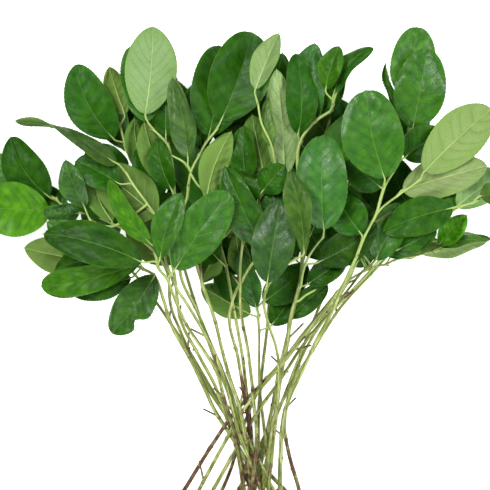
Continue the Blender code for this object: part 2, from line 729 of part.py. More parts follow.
def lowered(sprig, leaf, heap):
    """The leaf, with its tip let down until it nearly touches what lies below."""
    best = leaf
    for _ in range(LOWER_TRIES):
        trial = dict(best)
        trial["tip"] = best["tip"] - LOWER_STEP * UP
        if not heap.free(sprig["name"], trial):
            break
        best = trial
    return best


def inside(outline, place):
    crossings = 0
    for (ax, ay), (bx, by) in zip(outline, outline[1:] + outline[:1]):
        if (ay > place[1]) != (by > place[1]):
            crossings += place[0] < ax + (place[1] - ay) * (bx - ax) / (by - ay)
    return crossings % 2 == 1


def filling_leaves(sprig, draw, heap):
    """Leaves on alternate sides of a stem at the back, let down on what lies below."""
    path = sprig["stems"][0]["points"]
    leafy = path[path[:, 1] > -LEAFY_Y - PETIOLE]
    along = np.concatenate([[0], np.cumsum(np.linalg.norm(np.diff(leafy, axis=0), axis=1))])
    side = 1
    for place in np.arange(FILL_SPACING, along[-1] + 1, FILL_SPACING):
        index = int(np.argmin(np.abs(along - place)))
        last = min(index + HEADING_STEPS, len(leafy) - 1)
        ahead = unit((leafy[last] - leafy[max(index - HEADING_STEPS, 0)])[:2])
        for _ in range(FILL_TRIES):
            leaf = filling_leaf(sprig, leafy[index][:2], ahead, side, draw, heap)
            if leaf:
                keep_leaf(sprig, lowered(sprig, leaf, heap), heap)
                break
        side = -side


def filling_leaf(sprig, root, ahead, side, draw, heap):
    """One leaf at random on one side of the stem, or None where it leaves the crown."""
    way = turned(ahead, side * draw.uniform(*FILL_ANGLES))
    length = draw.uniform(*FILL_LENGTHS)
    base = root + way * PETIOLE
    tip = base + way * length
    places = [tip + way * FILL_MARGIN]
    for share, half in FILL_FLANKS:
        middle, flank = base + way * length * share, turned(way, 90) * length * half
        places += [middle + flank, middle - flank]
    if not all(inside(CROWN, (x, -y)) for x, y in places):
        return None
    turn = 180 if draw.random() < FILL_TURNED else 0
    leaf = set_leaf(
        sprig, (base[0], -base[1]), (tip[0], -tip[1]), length * draw.uniform(*FILL_SLIMNESS),
        turn + draw.uniform(*FILL_ROLLS), draw.uniform(*FILL_PITCHES), {},
        FILL_CHANGES[:FILL_MOST], heap,
    )
    if leaf:
        leaf["look"] = "olive" if turn else draw.choice(FILL_LOOKS)
    return leaf


def keep_leaf(sprig, leaf, heap):
    heap.add_leaf(sprig["name"], leaf)
    sprig["leaves"].append(leaf)


def grow_stems(heap):
    """Every sprig with its stems, each laid over those before it."""
    laid, sprigs = [], []
    for name, (first, last, points, twigs, _) in SPRIGS.items():
        stem = main_stem((first, last), GIRTHS.get(name, OTHER_GIRTH), points, laid)
        stems = [stem] + [twig(height, places, stem) for height, places in twigs]
        laid += stems
        sprigs.append({"name": name, "stems": stems, "leaves": []})
        for part in stems:
            heap.add_stem(name, *tube(part))
    return sprigs


def grow_bunch():
    """Every sprig with its stems and leaves, each clear of all the others."""
    heap = Heap()
    sprigs = grow_stems(heap)
    for sprig in reversed(sprigs):
        for base, tip, width, roll, pitch, look, *own in SPRIGS[sprig["name"]][4]:
            own = own[0] if own else {}
            leaf = set_leaf(sprig, base, tip, width, roll, pitch, own, DRAWN_TRIES, heap)
            if leaf:
                leaf["look"] = look
                keep_leaf(sprig, leaf, heap)
    draw = random.Random(FILL_SEED)
    for sprig in sprigs:
        if sprig["name"] in FILLED:
            filling_leaves(sprig, draw, heap)
    return sprigs


def clear_scene():
    for obj in list(bpy.data.objects):
        bpy.data.objects.remove(obj)


def look_materials():
    made = []
    for name, colour in LOOKS.items():
        material = bpy.data.materials.new("salal_" + name)
        material.use_nodes = True
        shader = material.node_tree.nodes["Principled BSDF"]
        shader.inputs["Base Color"].default_value = (*colour, 1)
        shader.inputs["Roughness"].default_value = ROUGHNESS
        shader.inputs["Metallic"].default_value = 0
        made.append(material)
    return made


def new_object(name, verts, faces, origin, look, materials, collection):
    mesh = bpy.data.meshes.new(name)
    mesh.from_pydata(((verts - origin) * MM).tolist(), [], faces)
    for material in materials:
        mesh.materials.append(material)
    slot = list(LOOKS).index(look)
    for polygon in mesh.polygons:
        polygon.material_index = slot
    obj = bpy.data.objects.new(name, mesh)
    obj.location = origin * MM
    collection.objects.link(obj)
    return obj


def fuse(obj, others):
    """Joins the others to the object by one union, and removes them."""
    bpy.context.view_layer.objects.active = obj
    union = obj.modifiers.new("grown_together", "BOOLEAN")
    union.operation = "UNION"
    union.operand_type = "COLLECTION"
    union.collection = others
    union.solver = "MANIFOLD"
    bpy.ops.object.modifier_apply(modifier=union.name)
    for other in list(others.objects):
        bpy.data.objects.remove(other)
    bpy.data.collections.remove(others)


def sprig_parts(sprig):
    """The closed shapes that the sprig is made of, its main stem first."""
    parts = [(*tube(stem), "stem") for stem in sprig["stems"]]
    return parts + [(leaf_points(leaf), LEAF_FACES, leaf["look"]) for leaf in sprig["leaves"]]


def build():
    clear_scene()
    materials = look_materials()
    sprigs = grow_bunch()
    shapes = [sprig_parts(sprig) for sprig in sprigs]
    every = np.vstack([verts for parts in shapes for verts, _, _ in parts])
    middle = (every.min(axis=0) + every.max(axis=0)) / 2
    bunch = bpy.data.objects.new("bunch", None)
    bpy.context.scene.collection.objects.link(bunch)
    bunch.location = (-middle[0] * MM, -middle[1] * MM, 0)
    for sprig, parts in zip(sprigs, shapes):
        name = sprig["name"]
        cut_end = sprig["stems"][0]["points"][0]
        home = bpy.context.scene.collection
        stem = new_object(name, *parts[0][:2], cut_end, parts[0][2], materials, home)
        others = bpy.data.collections.new(name + "_parts")
        home.children.link(others)
        for i, (verts, faces, look) in enumerate(parts[1:], 1):
            new_object(f"{name}_{i}", verts, faces, cut_end, look, materials, others)
        fuse(stem, others)
        stem.parent = bunch


build()
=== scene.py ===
"""The bunch of salal sprigs with its finish: veined leaves, budded stems, soft studio light.

The layout repeats the solids' own: a sheet that the bunch lies on, in millimetres, with x to
the right, y down from the leafy end to the cut ends, and heights up towards the viewer.
"""

import math
import random

import bpy
import numpy as np
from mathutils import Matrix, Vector
from mathutils.bvhtree import BVHTree


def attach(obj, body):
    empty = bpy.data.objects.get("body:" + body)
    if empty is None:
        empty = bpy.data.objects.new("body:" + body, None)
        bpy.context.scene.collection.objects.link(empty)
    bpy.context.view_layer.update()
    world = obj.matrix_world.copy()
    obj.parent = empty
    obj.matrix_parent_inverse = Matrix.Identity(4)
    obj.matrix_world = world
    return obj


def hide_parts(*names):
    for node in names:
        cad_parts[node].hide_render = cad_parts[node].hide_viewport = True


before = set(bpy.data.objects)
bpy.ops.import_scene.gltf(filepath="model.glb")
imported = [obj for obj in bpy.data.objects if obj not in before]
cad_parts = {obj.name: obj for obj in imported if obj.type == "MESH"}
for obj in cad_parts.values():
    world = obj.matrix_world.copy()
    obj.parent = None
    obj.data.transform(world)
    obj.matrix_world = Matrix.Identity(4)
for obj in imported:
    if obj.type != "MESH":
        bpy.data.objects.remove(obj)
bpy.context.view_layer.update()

MM = 0.001
UP = np.array([0.0, 0.0, 1.0])
TINY = 1e-9

# Stems
SIDES = 5
CUT_RADIUS = 2.1
TIP_RADIUS = 1.2
TWIG_GIRTH = (0.9, 0.75)
FLAT_SHARE = math.cos(math.pi / SIDES)
RISE_Y = 545.0
LEAFY_Y = 285.0
ROOTING_Y = 370.0
REST_HEIGHT = 2.0
STEM_GAP = 0.9
STEP = 2.0
CURVE_STEPS = 24
BUMP_SLOPE = 0.42
BUMP_REACH = 6.0
TOLERANCE = 0.9
FAR_BELOW = -1000.0

# Leaves
STATIONS = (0.0, 0.12, 0.46, 0.84, 0.985)
WIDEST = (0.42, 0.50)
BASE_ROUND = 0.54
TIP_ROUND = (0.48, 0.62)
THICK = 0.8
RIB = 0.5
PETIOLE = 9.0
PETIOLE_MOST = 15.0
PETIOLE_HALF = 0.95
PETIOLE_THICK = 1.7
PETIOLE_SECTION = ((1, 0.3), (0, 1), (-1, 0.3), (-1, -0.3), (0, -1), (1, -0.3))
RING = len(PETIOLE_SECTION)
TIP_HALF = 0.5
ARCH = (0.03, 0.12)
FOLD = (0.06, 0.36)
BEND = (-0.045, 0.045)
WAVE = (1.2, 3.6)
WAVES = 7.5
HABIT_SEED = (31, 17)
LIFT = 4.0
GROW = 0.5
FLOOR_GAP = 0.02
DRAWN_MOST = 1400
SIDEWAYS = 12
UP_COST = 2.5
LOWER_STEP = 1.5
LOWER_TRIES = 24

# Leaves that fill the bunch from behind, in the order that they grow
FILL_SPACING = 26.0
HEADING_STEPS = 4
FILL_TRIES = 60
FILL_MOST = 14
FILL_LENGTHS = (66, 98)
FILL_SLIMNESS = (0.55, 0.64)
FILL_ANGLES = (15, 75)
FILL_ROLLS = (-25, 25)
FILL_PITCHES = (-12, 12)
FILL_TURNED = 0.25
FILL_LOOKS = ("dark", "dark", "mid")
FILL_MARGIN = 4.0
FILL_FLANKS = ((0.25, 0.24), (0.5, 0.3), (0.8, 0.22))
FILL_SEED = 20

# The crown's outline on the sheet, which no filling leaf's tip or flank passes
CROWN = (
    (6, 150), (14, 138), (30, 146), (50, 190), (66, 172), (100, 152), (72, 120), (68, 84),
    (76, 68), (108, 90), (122, 66), (132, 44), (154, 30), (170, 50), (176, 62), (192, 72),
    (206, 54), (222, 46), (250, 36), (278, 40), (286, 56), (306, 46), (338, 50), (372, 52),
    (342, 84), (340, 98), (352, 94), (372, 93), (390, 102), (397, 60), (400, 40), (416, 28),
    (440, 44), (444, 100), (470, 106), (489, 108), (489, 200), (456, 210), (434, 224),
    (416, 248), (378, 256), (352, 238), (334, 276), (302, 316), (262, 320), (226, 310),
    (204, 288), (196, 262), (160, 262), (150, 282), (124, 298), (72, 296), (44, 290),
    (56, 270), (22, 250), (4, 228),
)

# How thick a sprig's stem is against the others'
GIRTHS = {
    "sprig_crown_right": 1.2, "sprig_left_gloss": 1.08, "sprig_round_right": 1.08,
    "sprig_pale_top": 0.98, "sprig_dark_top": 1.0, "sprig_left_low": 1.05,
    "sprig_pale_centre": 0.86, "sprig_right_low": 0.76, "sprig_right_pale": 0.84,
    "sprig_left_edge": 0.9, "sprig_centre_low": 0.82, "sprig_right_outer": 0.88,
}
OTHER_GIRTH = 0.92

# The sprigs at the back, which filling leaves grow on
FILLED = (
    "sprig_back_centre", "sprig_back_left", "sprig_back_right", "sprig_back_far_left",
    "sprig_back_far_right", "sprig_back_upper", "sprig_back_right_upper",
)

# Each sprig: its heights at the start and the end of its leafy part, its stem from the cut
# end, its twigs with the height of their ends, and its leaves. A leaf is its base, its tip,
# its width, its roll (0 shows the upper face, 180 the underside), its pitch, its look and
# what else it departs in.
SPRIGS = {
    "sprig_back_centre": (
        10, 10,
        [(266, 620), (265, 560), (262, 500), (258, 440), (262, 380), (268, 320), (272, 260),
         (270, 200), (268, 140), (272, 100)],
        [],
        [((273, 104), (283, 51), 30, 0, 10, "dark")],
    ),
    "sprig_back_left": (
        11, 14,
        [(334, 586), (302, 540), (270, 490), (244, 440), (226, 390), (206, 340), (190, 290),
         (168, 230), (140, 180), (118, 130)],
        [],
        [((128, 152), (132, 100), 32, 0, 10, "dark")],
    ),
    "sprig_back_right": (
        12, 16,
        [(202, 604), (226, 550), (252, 490), (270, 440), (288, 390), (308, 340), (326, 290),
         (342, 230), (352, 170), (358, 128)],
        [],
        [((350, 152), (338, 98), 32, -20, 20, "dark"),
         ((349, 170), (334, 128), 24, 30, 24, "blue")],
    ),
    "sprig_back_far_left": (
        13, 16,
        [(344, 566), (308, 520), (264, 470), (237, 436), (214, 396), (186, 350), (160, 310),
         (126, 268), (86, 232), (52, 206)],
        [], [],
    ),
    "sprig_back_far_right": (
        14, 18,
        [(192, 592), (216, 540), (246, 480), (268, 432), (290, 392), (316, 348), (346, 304),
         (384, 262), (420, 224), (448, 186)],
        [],
        [((414, 214), (392, 156), 38, 0, 12, "dark")],
    ),
    "sprig_back_upper": (
        34, 44,
        [(236, 612), (243, 550), (250, 490), (251, 436), (245, 380), (236, 320), (224, 260),
         (212, 210), (206, 150), (204, 110)],
        [],
        [((218, 250), (204, 284), 24, 165, -6, "light"),
         ((205, 196), (186, 148), 32, 0, 0, "dark")],
    ),
    "sprig_back_right_upper": (
        34, 44,
        [(211, 608), (234, 550), (255, 490), (267, 436), (278, 380), (291, 320), (304, 260),
         (314, 200), (322, 150), (330, 120)],
        [], [],
    ),
    "sprig_right_low": (
        24, 30,
        [(182, 584), (206, 530), (228, 480), (243, 430), (258, 395), (275, 372), (298, 342),
         (318, 318), (345, 285), (372, 269), (388, 264), (402, 259), (425, 254), (442, 250)],
        [],
        [((441, 244), (468, 215), 24, 12, 8, "bright", {"round": 0.62}),
         ((443, 247), (494, 239), 15, 40, 4, "mid"),
         ((424, 253), (490, 247), 30, 140, -2, "pale"),
         ((404, 257), (440, 242), 22, 150, 0, "pale"),
         ((394, 256), (444, 246), 16, 50, -2, "olive")],
    ),
    "sprig_left_edge": (
        28, 34,
        [(321, 594), (295, 540), (262, 480), (234, 432), (204, 385), (185, 345), (171, 310),
         (166, 272), (146, 245), (116, 225), (80, 211), (62, 205), (50, 196), (42, 190)],
        [],
        [((47, 196), (9, 137), 42, 8, 6, "dark", {"wave": 3.6, "round": 0.5, "bend": 0.08}),
         ((14, 182), (-22, 158), 34, -10, -8, "mid"),
         ((46, 213), (-22, 203), 56, 12, -6, "bright", {"wave": 4.2, "round": 0.44}),
         ((64, 216), (36, 186), 30, 0, -4, "dark"),
         ((36, 192), (-20, 190), 46, -15, -14, "bright"),
         ((78, 213), (42, 212), 26, 30, 10, "blue"),
         ((76, 211), (56, 204), 12, -50, 12, "pale"),
         ((104, 216), (66, 190), 30, 10, -4, "dark")],
    ),
    "sprig_back_crown_left": (
        36, 46,
        [(287, 606), (272, 550), (250, 490), (231, 434), (216, 390), (198, 357), (181, 322),
         (174, 280), (166, 240), (152, 206), (138, 176), (126, 146), (118, 122)],
        [],
        [((124, 114), (109, 67), 26, 164, 12, "light"),
         ((113, 138), (75, 65), 47, -8, 8, "dark", {"round": 0.52, "bend": 0.09}),
         ((124, 148), (102, 86), 36, 24, 2, "blue"),
         ((143, 172), (134, 118), 24, 160, 6, "olive"),
         ((128, 166), (84, 150), 34, 10, -8, "dark"),
         ((156, 204), (128, 152), 34, -20, 0, "dark")],
    ),
    "sprig_centre_low": (
        30, 36,
        [(280, 610), (276, 550), (270, 490), (264, 430), (260, 385), (259, 340), (258, 312),
         (252, 290), (246, 270)],
        [],
        [((256, 308), (252, 248), 26, 32, 6, "blue"),
         ((245, 276), (236, 234), 24, 165, 8, "olive"),
         ((264, 302), (305, 262), 34, -6, 4, "dark"),
         ((250, 315), (201, 287), 31, 165, 0, "olive"),
         ((244, 300), (212, 276), 26, 15, 6, "dark"),
         ((272, 326), (300, 284), 30, 10, 2, "dark")],
    ),
    "sprig_right_inner": (
        48, 58,
        [(314, 566), (305, 520), (298, 486), (289, 455), (285, 430), (290, 395), (301, 360),
         (318, 330), (335, 308), (350, 288), (362, 272), (374, 262), (384, 246)],
        [],
        [((376, 260), (400, 203), 34, 20, 6, "blue", {"round": 0.46}),
         ((388, 256), (418, 228), 28, -10, 4, "mid"),
         ((402, 250), (436, 230), 24, 10, 2, "dark"),
         ((361, 250), (343, 204), 38, -10, 2, "dark"),
         ((360, 250), (370, 210), 28, 4, 8, "dark")],
    ),
    "sprig_right_outer": (
        54, 62,
        [(170, 570), (194, 526), (217, 486), (234, 456), (248, 430), (263, 405), (283, 378),
         (302, 347), (320, 324), (344, 300), (362, 280), (377, 263), (390, 248), (403, 233),
         (416, 226), (434, 220), (456, 209), (478, 200)],
        [],
        [((457, 206), (508, 172), 36, 160, 2, "pale"),
         ((480, 196), (508, 190), 24, 20, -4, "olive"),
         ((452, 208), (380, 219), 38, -6, 4, "dark"),
         ((426, 218), (466, 190), 34, 14, 2, "mid")],
    ),
    "sprig_left_low": (
        40, 34,
        [(306, 572), (272, 510), (243, 458), (226, 431), (214, 411), (204, 390), (190, 362),
         (173, 330), (163, 300), (153, 276), (134, 266), (106, 259), (84, 256)],
        [],
        [((154, 276), (111, 334), 39, -6, -6, "mid",
          {"round": 0.46, "bite": (1, 0.66, 0.5, 0.09)}),
         ((138, 264), (40, 287), 31, 8, -4, "bright", {"wave": 3.4, "round": 0.42, "widest": 0.72}),
         ((130, 278), (67, 290), 30, 10, -10, "dark", {"round": 0.48}),
         ((98, 259), (53, 270), 28, -18, -8, "dark", {"round": 0.64}),
         ((86, 261), (22, 248), 38, 172, -2, "light", {"round": 0.6}),
         ((104, 252), (46, 222), 30, 4, 2, "mid")],
    ),
    "sprig_crown_right": (
        56, 72,
        [(252, 618), (257, 550), (264, 485), (272, 435), (277, 410), (280, 385), (285, 355),
         (291, 320), (299, 285), (302, 262), (302, 230), (300, 190), (297, 160), (300, 141),
         (311, 126), (318, 119), (330, 112)],
        [(92, [(300, 288), (303, 272), (309, 256), (317, 243), (323, 236)]),
         (80, [(330, 112), (333, 103), (336, 94)]),
         (64, [(298, 302), (306, 295), (315, 290)])],
        [((298, 134), (289, 55), 34, -10, 0, "dark", {"round": 0.5}),
         ((315, 118), (314, 44), 37, 6, 4, "blue", {"bend": 0.10}),
         ((325, 90), (338, 48), 24, 14, 6, "bright"),
         ((320, 114), (342, 66), 26, 12, 6, "dark"),
         ((333, 96), (372, 49), 21, 26, 2, "dark", {"bend": 0.12}),
         ((323, 230), (322, 137), 52, 6, 2, "blue", {"round": 0.42, "bend": 0.01}),
         ((318, 262), (376, 224), 35, -10, 0, "dark", {"round": 0.52}),
         ((308, 284), (347, 256), 26, 8, -4, "dark"),
         ((291, 318), (325, 282), 24, -12, -4, "dark", {"round": 0.56, "bend": 0.06}),
         ((306, 196), (332, 146), 32, 6, -4, "dark")],
    ),
    "sprig_right_upper": (
        58, 70,
        [(146, 552), (166, 520), (188, 486), (213, 446), (228, 422), (245, 402), (265, 382),
         (285, 358), (306, 334), (330, 309), (346, 284), (360, 254), (371, 226), (380, 202),
         (386, 184), (395, 168), (403, 148), (408, 132), (411, 119)],
        [],
        [((412, 129), (426, 50), 51, 4, 4, "mid", {"round": 0.44, "bend": -0.01}),
         ((413, 108), (417, 27), 47, -4, -10, "mid", {"round": 0.44}),
         ((397, 112), (389, 63), 9, 40, 0, "dark"),
         ((403, 136), (400, 94), 26, 30, 2, "blue"),
         ((381, 188), (346, 162), 36, -6, 0, "dark"),
         ((404, 158), (440, 128), 36, 10, 0, "dark")],
    ),
    "sprig_centre_upper": (
        66, 84,
        [(219, 596), (231, 545), (243, 490), (249, 440), (245, 400), (238, 360), (230, 325),
         (234, 296), (248, 270), (262, 252), (267, 238), (262, 214), (254, 184)],
        [],
        [((260, 246), (225, 168), 38, 22, 6, "mid", {"round": 0.52}),
         ((266, 234), (265, 184), 20, 155, 6, "pale", {"round": 0.5, "widest": 0.7}),
         ((272, 222), (278, 180), 26, 24, 6, "blue"),
         ((260, 238), (252, 186), 28, -44, 4, "dark"),
         ((246, 182), (234, 128), 30, 12, 4, "dark"),
         ((263, 172), (247, 117), 32, 165, 4, "olive")],
    ),
    "sprig_right_pale": (
        66, 78,
        [(158, 566), (180, 528), (203, 486), (222, 448), (240, 416), (259, 392), (281, 366),
         (301, 340), (322, 314), (341, 288), (357, 260), (370, 232), (378, 212), (396, 196),
         (410, 187), (420, 180)],
        [],
        [((423, 172), (489, 110), 50, 172, 4, "pale", {"round": 0.44, "widest": 0.54}),
         ((402, 190), (486, 166), 42, 166, -5, "pale", {"round": 0.5})],
    ),
    "sprig_pale_top": (
        62, 80,
        [(327, 600), (302, 550), (272, 490), (245, 434), (230, 392), (222, 372), (210, 343),
         (197, 310), (182, 280), (178, 250), (176, 220), (175, 194), (174, 175), (171, 156),
         (168, 146), (161, 137), (152, 128)],
        [],
        [((146, 115), (154, 29), 52, 178, 6, "pale", {"round": 0.56, "widest": 0.52, "bend": 0.02}),
         ((148, 122), (131, 46), 38, -10, -12, "mid", {"round": 0.5, "bend": 0, "arch": 0.04}),
         ((166, 138), (171, 61), 31, 4, -8, "dark"),
         ((166, 182), (150, 122), 28, 160, 4, "olive"),
         ((172, 190), (162, 138), 26, 4, -4, "dark")],
    ),
    "sprig_dark_top": (
        68, 84,
        [(244, 624), (249, 560), (250, 490), (246, 440), (239, 408), (232, 385), (222, 350),
         (213, 315), (200, 275), (190, 245), (184, 213), (188, 197), (191, 174), (198, 158),
         (208, 142), (218, 128)],
        [(78, [(191, 172), (184, 163), (172, 156)]),
         (82, [(191, 174), (196, 182), (202, 189)])],
        [((221, 122), (252, 34), 60, -6, 1, "dark", {"round": 0.42, "bend": -0.02}),
         ((209, 137), (219, 46), 54, -8, -6, "dark", {"round": 0.46, "bend": -0.02}),
         ((188, 158), (173, 80), 28, 24, 4, "light", {"fold": 0.42, "round": 0.56, "bend": -0.08}),
         ((202, 150), (192, 82), 38, 10, -8, "dark"),
         ((207, 197), (231, 133), 30, 160, 2, "light", {"round": 0.62, "bend": -0.03})],
    ),
    "sprig_left_twisted": (
        80, 86,
        [(299, 604), (280, 545), (258, 485), (240, 435), (229, 398), (218, 362), (206, 335),
         (190, 308), (175, 285), (167, 262), (165, 240), (160, 224), (150, 207), (138, 190),
         (125, 171)],
        [(78, [(148, 205), (130, 218), (112, 227), (92, 221)])],
        [((156, 216), (96, 168), 54, 168, 6, "olive", {"round": 0.54}),
         ((118, 164), (18, 122), 40, -30, 2, "olive", {"twist": -96, "round": 0.62, "fold": 0.05}),
         ((84, 204), (67, 161), 28, 24, 8, "blue", {"round": 0.62}),
         ((113, 222), (92, 166), 24, 155, 8, "olive"),
         ((138, 240), (111, 181), 24, 30, 12, "bright"),
         ((120, 184), (77, 162), 36, -4, -4, "dark", {"round": 0.46})],
    ),
    "sprig_left_gloss": (
        88, 98,
        [(259, 600), (252, 545), (243, 485), (234, 435), (226, 405), (217, 374), (205, 352),
         (189, 327), (176, 300), (168, 280), (160, 268), (156, 254)],
        [],
        [((176, 269), (229, 193), 46, -6, 4, "mid", {"round": 0.44, "widest": 0.5}),
         ((161, 258), (182, 194), 30, 20, 6, "mid"),
         ((136, 262), (46, 234), 42, -12, -6, "dark", {"round": 0.52})],
    ),
    "sprig_round_right": (
        78, 92,
        [(293, 606), (287, 556), (281, 490), (281, 450), (284, 420), (291, 396), (300, 376),
         (315, 342), (331, 313), (346, 278), (358, 250), (367, 230), (375, 214), (379, 198),
         (383, 184)],
        [],
        [((383, 179), (364, 93), 61, 4, 4, "mid", {"round": 0.40, "widest": 0.46}),
         ((360, 234), (335, 196), 38, 0, -6, "dark")],
    ),
    "sprig_pale_centre": (
        44, 98,
        [(228, 600), (240, 540), (252, 485), (257, 438), (253, 400), (248, 350), (241, 310),
         (240, 272), (244, 240), (252, 212), (266, 190), (276, 174), (274, 157), (270, 142),
         (261, 124), (257, 104)],
        [],
        [((255, 91), (278, 37), 29, 146, 10, "pale", {"round": 0.62, "bend": 0.03}),
         ((284, 178), (276, 71), 38, 152, 5, "pale", {"bend": 0.05, "round": 0.6}),
         ((272, 148), (264, 100), 16, 30, 2, "light"),
         ((262, 192), (284, 166), 30, 0, 14, "dark"),
         ((256, 206), (240, 168), 30, 10, -4, "dark")],
    ),
    "sprig_centre_top": (
        92, 104,
        [(273, 588), (272, 530), (269, 490), (272, 455), (277, 415), (279, 380), (276, 348),
         (268, 322), (264, 300), (268, 284), (282, 268), (297, 258)],
        [],
        [((303, 252), (289, 172), 27, 30, 4, "olive", {"bend": -0.08, "round": 0.6, "widest": 0.66}),
         ((267, 282), (287, 204), 43, 8, 2, "blue", {"round": 0.48, "bend": 0, "arch": 0.05})],
    ),
}


def unit(vector):
    return vector / max(np.linalg.norm(vector), TINY)


def on_sheet(points):
    """Sheet places as x to the right and y towards the leafy end."""
    places = np.array(points, float)
    places[:, 1] *= -1
    return places


def lengths(points):
    """How far along the line each of its points is."""
    return np.concatenate([[0], np.cumsum(np.linalg.norm(np.diff(points, axis=0), axis=1))])


def smooth_path(points):
    """A smooth curve through the points, read every STEP millimetres."""
    points = on_sheet(points)
    padded = np.vstack([2 * points[0] - points[1], points, 2 * points[-1] - points[-2]])
    fine = []
    for a, b, c, d in zip(padded, padded[1:], padded[2:], padded[3:]):
        for t in np.linspace(0, 1, CURVE_STEPS, endpoint=False):
            fine.append(
                0.5 * (2 * b + (c - a) * t + (2 * a - 5 * b + 4 * c - d) * t**2
                       + (3 * b - a - 3 * c + d) * t**3)
            )
    fine.append(points[-1])
    fine = np.array(fine)
    along = lengths(fine)
    steps = np.linspace(0, along[-1], max(3, int(along[-1] / STEP)))
    return np.column_stack([np.interp(steps, along, fine[:, i]) for i in (0, 1)]), steps


def eased(x):
    x = np.clip(x, 0, 1)
    return x * x * (3 - 2 * x)


def needed_height(path, radius, laid):
    """For each step of the path, the height that clears every stem laid before it."""
    need = np.full(len(path), FAR_BELOW)
    for other in laid:
        apart = np.linalg.norm(path[:, None] - other["points"][None, :, :2], axis=2)
        reach = radius[:, None] + other["radius"][None] + STEM_GAP
        over = np.sqrt(np.clip(reach**2 - apart**2, 0, None))
        height = np.where(apart < reach, other["points"][None, :, 2] + over, FAR_BELOW)
        need = np.maximum(need, height.max(axis=1))
    return need


def raised(wish, need, steps):
    """The wished heights, lifted over what is needed in long low humps."""
    apart = np.abs(steps[:, None] - steps[None])
    humps = need[None] - BUMP_SLOPE * np.clip(apart - BUMP_REACH, 0, None)
    heights = np.maximum(wish, humps.max(axis=1))
    near = apart <= BUMP_REACH
    smooth = (near * heights[None]).sum(axis=1) / near.sum(axis=1)
    return np.maximum(smooth, wish)


def main_stem(heights, girth, points, laid):
    path, steps = smooth_path(points)
    radius = girth * np.interp(steps, [0, steps[-1]], [CUT_RADIUS, TIP_RADIUS])
    rest = radius * FLAT_SHARE
    start = steps[np.argmax(path[:, 1] > -RISE_Y)]
    leafy = steps[np.argmax(path[:, 1] > -LEAFY_Y)]
    rise = eased((steps - start) / (leafy - start))
    beyond = np.clip((steps - leafy) / (steps[-1] - leafy), 0, 1)
    wish = rest + rise * (heights[0] - REST_HEIGHT) + beyond * (heights[1] - heights[0])
    height = raised(wish, needed_height(path, radius, laid), steps)
    level_end = int(np.argmax(steps >= start))
    return {"points": np.column_stack([path, height]), "radius": radius, "level_end": level_end}


def twig(end_height, points, stem):
    """A side shoot that starts on the stem's axis."""
    path, steps = smooth_path(points)
    start = nearest(stem["points"], path[0])
    path[0] = start[:2]
    radius = TIP_RADIUS * np.interp(steps, [0, steps[-1]], TWIG_GIRTH)
    wish = np.interp(steps, [0, steps[-1]], [start[2], end_height])
    return {"points": np.column_stack([path, wish]), "radius": radius, "level_end": 0}


def nearest(points, place):
    return points[np.argmin(np.linalg.norm(points[:, :2] - place, axis=1))]


def thinned(points):
    """The indices that keep the curve within TOLERANCE."""
    keep = {0, len(points) - 1}
    spans = [(0, len(points) - 1)]
    while spans:
        a, b = spans.pop()
        if b - a < 2:
            continue
        chord = points[b] - points[a]
        inner = points[a + 1 : b] - points[a]
        share = np.clip(inner @ chord / max(chord @ chord, TINY), 0, 1)
        off = np.linalg.norm(inner - share[:, None] * chord, axis=1)
        worst = int(np.argmax(off))
        if off[worst] > TOLERANCE:
            middle = a + 1 + worst
            keep.add(middle)
            spans += [(a, middle), (middle, b)]
    return sorted(keep)


def tube(stem):
    """The tube that stands for a stem in the solids, with a flat side down."""
    kept = sorted({stem["level_end"], *thinned(stem["points"])})
    points, radius = stem["points"][kept], stem["radius"][kept]
    verts, faces = [], []
    for i, (point, size) in enumerate(zip(points, radius)):
        along = points[min(i + 1, len(points) - 1)] - points[max(i - 1, 0)]
        side = unit(np.cross(UP, along))
        for k in range(SIDES):
            angle = math.pi / 2 + 2 * math.pi * k / SIDES
            verts.append(point + size * (math.cos(angle) * side + math.sin(angle) * UP))
    for i in range(len(points) - 1):
        for k in range(SIDES):
            a, b = i * SIDES + k, i * SIDES + (k + 1) % SIDES
            faces += [(a, b, b + SIDES), (a, b + SIDES, a + SIDES)]
    last = (len(points) - 1) * SIDES
    for k in range(1, SIDES - 1):
        faces += [(0, k + 1, k), (last, last + k, last + k + 1)]
    return np.array(verts), faces


def breadth(leaf, t, across):
    """Half the blade's width at t from base to tip, as a share of the widest."""
    widest = leaf["widest"]
    lower = np.sin(math.pi / 2 * np.clip(t / widest, 0, 1)) ** BASE_ROUND
    upper = np.cos(math.pi / 2 * np.clip((t - widest) / (1 - widest), 0, 1)) ** leaf["round"]
    share = np.where(t < widest, lower, upper)
    side, place, depth, reach = leaf["bite"]
    return share * (1 - depth * (across * side > 0) * np.exp(-(((t - place) / reach) ** 2)))


def leaf_frame(leaf, t=0.0):
    """The blade's axis, and its side and its upper normal at t."""
    axis = unit(leaf["tip"] - leaf["base"])
    level = unit(np.cross(UP, axis))
    roll = (leaf["roll"] + leaf["twist"] * np.asarray(t))[..., None]
    normal = np.cos(roll) * np.cross(axis, level) + np.sin(roll) * level
    return axis, np.cross(normal, axis), normal


def blade_places(leaf, t, across):
    """Places on the blade's upper face: t from base to tip, across from -1 to 1."""
    axis, side, normal = leaf_frame(leaf, t)
    length = np.linalg.norm(leaf["tip"] - leaf["base"])
    bow = 4 * t * (1 - t)
    out = across * np.maximum(leaf["width"] / 2 * breadth(leaf, t, across), TIP_HALF)
    height = leaf["arch"] * length * bow + leaf["fold"] * np.abs(out)
    ripple = np.sin(leaf["phase"] + WAVES * t * across)
    height = height + leaf["wave"] * np.abs(across) * ripple * bow
    sideways = out + leaf["bend"] * length * bow
    return (
        leaf["base"]
        + (length * t + 0 * out)[..., None] * axis
        + sideways[..., None] * side
        + height[..., None] * normal
    )


BLADE_T = np.array(STATIONS)[:, None]
BLADE_ACROSS = np.array([1.0, 0.0, -1.0])[None]


